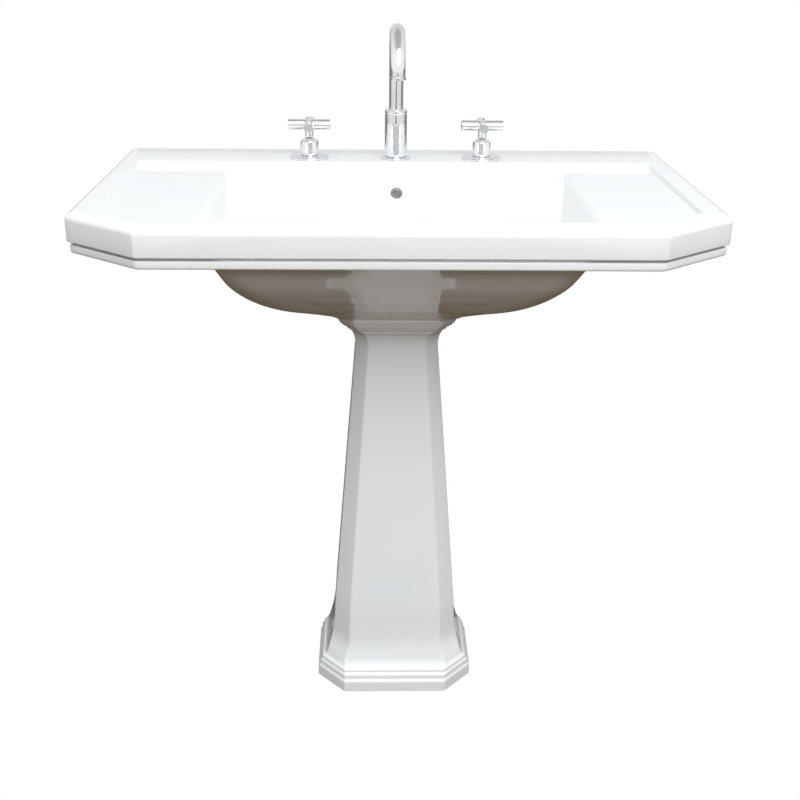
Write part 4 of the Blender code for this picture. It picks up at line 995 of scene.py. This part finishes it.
class Nodes:
    # short ways to add and join the nodes of one tree
    def __init__(self, tree):
        self.tree = tree

    def node(self, kind, *sources, **settings):
        # sources feed the first sockets; settings are socket values or the node's own choices
        made = self.tree.nodes.new("ShaderNode" + kind)
        for key, value in settings.items():
            socket = key.replace("_", " ")
            if socket in made.inputs:
                made.inputs[socket].default_value = value
            else:
                setattr(made, key, value)
        for source, socket in zip(sources, made.inputs):
            self.join(source, socket)
        return made

    def join(self, source, target):
        self.tree.links.new(source, target)

    def spread(self, value, low, high, fromLow=0.3, fromHigh=0.7):
        made = self.node("MapRange", value, From_Min=fromLow, From_Max=fromHigh, To_Min=low, To_Max=high)
        return made.outputs["Result"]

    def product(self, first, second):
        return self.node("Math", first, second, operation="MULTIPLY").outputs["Value"]

    def mixed(self, share, first, second):
        return self.node("MixShader", share, first, second).outputs["Shader"]

    def ray(self, kind):
        return self.node("LightPath").outputs[f"Is {kind} Ray"]


class Finish(Nodes):
    # a material: patterns in the piece's own coordinates, feeding one shader
    def __init__(self, name, **plain):
        self.material = bpy.data.materials.new(name)
        self.material.use_nodes = True
        super().__init__(self.material.node_tree)
        self.shader = self.tree.nodes["Principled BSDF"]
        self.coords = self.node("TexCoord").outputs["Object"]
        for socket, value in plain.items():
            self.shader.inputs[socket.replace("_", " ")].default_value = value

    def noise(self, scale, detail=3.0, roughness=0.5, stretch=(1, 1, 1)):
        place = self.node("Mapping", self.coords, Scale=stretch).outputs["Vector"]
        return self.node("TexNoise", place, Scale=scale, Detail=detail, Roughness=roughness).outputs["Fac"]

    def tones(self, value, stops):
        ramp = self.node("ValToRGB", value)
        steps = ramp.color_ramp.elements
        while len(steps) < len(stops):
            steps.new(0.5)
        for step, (place, colour) in zip(steps, stops):
            step.position = place
            step.color = (*colour, 1)
        self.join(ramp.outputs["Color"], self.shader.inputs["Base Color"])

    def rough(self, value, low, high):
        self.join(self.spread(value, low, high), self.shader.inputs["Roughness"])

    def relief(self, *layers):
        # layers of (height, strength, distance) stacked into one normal
        normal = None
        for height, strength, distance in layers:
            bump = self.node("Bump", Strength=strength, Distance=distance)
            self.join(height, bump.inputs["Height"])
            if normal:
                self.join(normal, bump.inputs["Normal"])
            normal = bump.outputs["Normal"]
        self.join(normal, self.shader.inputs["Normal"])


def china(name, tint):
    # white body under a clear glaze that lies in slow waves, thinner and cooler in places
    glaze = Finish(name, IOR=1.52, Coat_Weight=0.6, Coat_Roughness=0.03, Coat_IOR=1.5, Specular_IOR_Level=0.5)
    cool = [tone * share for tone, share in zip(tint, (0.975, 0.985, 1.0))]
    warm = [tone * share for tone, share in zip(tint, (1.0, 0.993, 0.978))]
    glaze.tones(glaze.noise(7.0, 2.0), [(0.30, cool), (0.50, tint), (0.72, warm)])
    glaze.rough(glaze.noise(38.0, 4.0), 0.05, 0.11)
    glaze.relief((glaze.noise(9.0, 1.0), 0.04, 0.004), (glaze.noise(120.0, 1.0), 0.004, 0.0006))
    return glaze.material


def plated(name):
    # bright plating with faint wiping marks and the odd water spot
    chrome = Finish(name, Metallic=1.0)
    chrome.tones(chrome.noise(60.0, 2.0), [(0.3, (0.80, 0.81, 0.83)), (0.7, (0.88, 0.885, 0.895))])
    chrome.rough(chrome.noise(90.0, 5.0, 0.6, (1, 1, 0.15)), 0.025, 0.085)
    chrome.relief((chrome.noise(240.0, 3.0), 0.015, 0.0002))
    return chrome.material


def turnedBrass(name):
    brass = Finish(name, Metallic=1.0)
    fine = brass.noise(320.0, 4.0, 0.6, (0.15, 0.15, 4.0))
    dull, plain, bright = (0.50, 0.35, 0.15), (0.72, 0.55, 0.27), (0.80, 0.64, 0.36)
    brass.tones(brass.noise(120.0, 4.0), [(0.25, dull), (0.5, plain), (0.8, bright)])
    brass.rough(fine, 0.22, 0.42)
    brass.relief((fine, 0.20, 0.0002))
    return brass.material


def plainSteel(name):
    steel = Finish(name, Metallic=1.0)
    steel.tones(steel.noise(500.0, 3.0), [(0.3, (0.36, 0.37, 0.39)), (0.7, (0.52, 0.53, 0.55))])
    steel.rough(steel.noise(800.0, 3.0), 0.25, 0.45)
    steel.relief((steel.noise(900.0, 2.0), 0.1, 0.0002))
    return steel.material


def softRubber(name):
    rubber = Finish(name, Specular_IOR_Level=0.35)
    rubber.tones(rubber.noise(150.0, 5.0), [(0.3, (0.018, 0.018, 0.019)), (0.7, (0.045, 0.044, 0.042))])
    rubber.rough(rubber.noise(260.0, 4.0), 0.62, 0.85)
    rubber.relief((rubber.noise(900.0, 4.0), 0.3, 0.0003))
    return rubber.material


def moulded(name, light, dark, low, high, grain=700.0):
    plastic = Finish(name, Specular_IOR_Level=0.5)
    plastic.tones(plastic.noise(40.0, 3.0), [(0.3, dark), (0.7, light)])
    plastic.rough(plastic.noise(220.0, 3.0), low, high)
    plastic.relief((plastic.noise(grain, 3.0), 0.12, 0.0003), (plastic.noise(25.0, 1.0), 0.06, 0.002))
    return plastic.material


def woven(name):
    # two sets of slanted wires over and under, on the hose's own wrap; the colour is painted shade, dark down
    # between the wires and light on their crowns
    braid = Finish(name, Metallic=1.0)
    wrap = braid.node("UVMap", uv_map="wrap").outputs["UV"]
    waves = []
    for lean in (1, -1):
        place = braid.node("Mapping", wrap, Scale=(16, 16 * lean, 1)).outputs["Vector"]
        wave = braid.node("TexWave", place, wave_type="BANDS", bands_direction="DIAGONAL", Scale=0.5,
                          Distortion=0.0)
        waves.append(wave.outputs["Fac"])
    height = braid.node("Math", *waves, operation="MAXIMUM").outputs["Value"]
    # painted shade: the wires' colour darkens down into the weave and lightens on the crowns
    braid.tones(height, [(0.35, (0.12, 0.12, 0.13)), (0.65, (0.52, 0.53, 0.55)), (0.95, (0.75, 0.76, 0.78))])
    braid.rough(height, 0.45, 0.25)
    braid.relief((height, 0.7, 0.0006))
    return braid.material


finishes = {
    "basin_china": china("whiteGlazeBasin", (0.798, 0.807, 0.806)),
    # the pedestal's copy of the glaze is tinted cooler than the basin's: painted cool shade
    "pedestal_china": china("whiteGlazePedestalCoolShade", (0.790, 0.808, 0.820)),
    "chrome": plated("brightPlating"),
    "brass": turnedBrass("turnedBrass"),
    "screw_steel": plainSteel("screwSteel"),
    "rubber": softRubber("blackRubber"),
    "braid": woven("wovenWire"),
    "cartridge_plastic": moulded("creamPlastic", (0.82, 0.81, 0.76), (0.76, 0.75, 0.69), 0.35, 0.55),
    "aerator_plastic": moulded("greyPlastic", (0.24, 0.25, 0.26), (0.16, 0.17, 0.18), 0.40, 0.60),
    "trap_plastic": moulded("whitePlastic", (0.87, 0.87, 0.86), (0.80, 0.81, 0.80), 0.28, 0.42),
}



def dress(obj, slot):
    obj.data.materials.clear()
    obj.data.materials.append(finishes[slot])


for row in frame["record"]["subparts"]:
    dress(frame["nodes"][row["node"]], row["material_slot"])
for obj in bpy.data.objects:
    if obj.type == "MESH" and "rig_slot" in obj:
        dress(obj, obj["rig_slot"])
print("finishes done")


# the studio

studio = {
    "place": (-0.0387, -1.7066, 1.2158), "pitch": 22.79, "yaw": 1.52, "roll": 0.65, "lens": 51.58,
    # farTone is the colour of the far floor's painted glow, seen only in reflections
    "floorSize": 80.0, "floorDrop": 0.0005, "floorTone": (0.098, 0.068, 0.038), "farTone": (1.0, 0.97, 0.93),
    "roomTone": (0.97, 0.985, 1.0), "front": 1.10, "behind": 0.84,
    "keyPlace": (0.6, -2.6, 3.1), "keyAim": (0, 0, 0.7), "keySize": 2.6, "keyPower": 110,
    "keyTone": (0.965, 0.985, 1.0),
}


def makeFloor():
    letGo()
    bpy.ops.mesh.primitive_plane_add(size=studio["floorSize"], location=(0, 0, -studio["floorDrop"]))
    floor = named("floor")
    paper = Finish("palePaper", Roughness=0.9, Specular_IOR_Level=0.1, Base_Color=(*studio["floorTone"], 1))
    # painted reflection: to glossy rays the far floor glows, bright ahead with one dark strip, and dim behind
    place = paper.node("SeparateXYZ", paper.coords)
    ahead = paper.spread(place.outputs["Y"], 0.86, 0.26, -2.0, 1.5)
    side = paper.node("Math", place.outputs["X"], operation="ABSOLUTE").outputs["Value"]
    far = paper.node("Emission", Color=(*studio["farTone"], 1))
    paper.join(paper.product(ahead, paper.spread(side, 0.12, 1.0, 0.75, 0.95)), far.inputs["Strength"])
    reach = paper.node("VectorMath", paper.coords, operation="LENGTH").outputs["Value"]
    shine = paper.product(paper.spread(reach, 0.0, 1.0, 2.4, 3.6), paper.ray("Glossy"))
    seen = paper.mixed(shine, paper.shader.outputs["BSDF"], far.outputs["Emission"])
    glow = paper.node("Emission", Color=(1, 1, 1, 1)).outputs["Emission"]
    paper.join(paper.mixed(paper.ray("Camera"), seen, glow),
               paper.tree.nodes["Material Output"].inputs["Surface"])
    floor.data.materials.append(paper.material)


def makeRoom():
    # a bright room in front and a dim one behind; white where the camera looks straight at it
    world = bpy.data.worlds.new("studioAir")
    bpy.context.scene.world = world
    world.use_nodes = True
    air = Nodes(world.node_tree)
    room = air.tree.nodes["Background"]
    room.inputs["Color"].default_value = (*studio["roomTone"], 1)
    toward = air.node("SeparateXYZ", air.node("TexCoord").outputs["Generated"]).outputs
    level = air.product(air.spread(toward["Y"], studio["front"], studio["behind"], -0.3, 0.4),
                        air.spread(toward["Z"], 0.55, 1.00, 0.1, 0.65))
    reflected = air.product(air.spread(toward["Y"], 1.05, 0.78, -0.1, 0.75),
                            air.spread(toward["Z"], 1.0, 0.50, 0.60, 0.90))
    pick = air.node("Mix", air.ray("Glossy"))
    air.join(level, pick.inputs["A"])
    air.join(reflected, pick.inputs["B"])
    air.join(pick.outputs["Result"], room.inputs["Strength"])
    white = air.node("Background", Color=(1, 1, 1, 1)).outputs["Background"]
    air.join(air.mixed(air.ray("Camera"), room.outputs["Background"], white),
             air.tree.nodes["World Output"].inputs["Surface"])


def putIn(name, data):
    obj = bpy.data.objects.new(name, data)
    bpy.context.scene.collection.objects.link(obj)
    return obj


def makeKeyLight():
    light = bpy.data.lights.new("keyBox", "AREA")
    light.shape = "SQUARE"
    light.size = studio["keySize"]
    light.energy = studio["keyPower"]
    light.color = studio["keyTone"]
    box = putIn("keyBox", light)
    box.location = studio["keyPlace"]
    box.rotation_euler = (Vector(studio["keyAim"]) - box.location).to_track_quat("-Z", "Y").to_euler()


def placeCamera():
    pitch, yaw, roll = (math.radians(studio[key]) for key in ("pitch", "yaw", "roll"))
    ahead = Vector((math.sin(yaw) * math.cos(pitch), math.cos(yaw) * math.cos(pitch), -math.sin(pitch)))
    right = Vector((math.cos(yaw), -math.sin(yaw), 0))
    above = right.cross(ahead)
    across = math.cos(roll) * right + math.sin(roll) * above
    upright = math.cos(roll) * above - math.sin(roll) * right
    camera = putIn("camera", bpy.data.cameras.new("camera"))
    turn = Matrix((across, upright, -ahead)).transposed().to_4x4()
    camera.matrix_world = Matrix.Translation(studio["place"]) @ turn
    camera.data.lens = studio["lens"]
    camera.data.sensor_width = 36
    camera.data.clip_end = 100
    bpy.context.scene.camera = camera


makeFloor()
makeRoom()
makeKeyLight()
placeCamera()
bpy.context.scene.view_settings.view_transform = "Standard"
print("studio done")
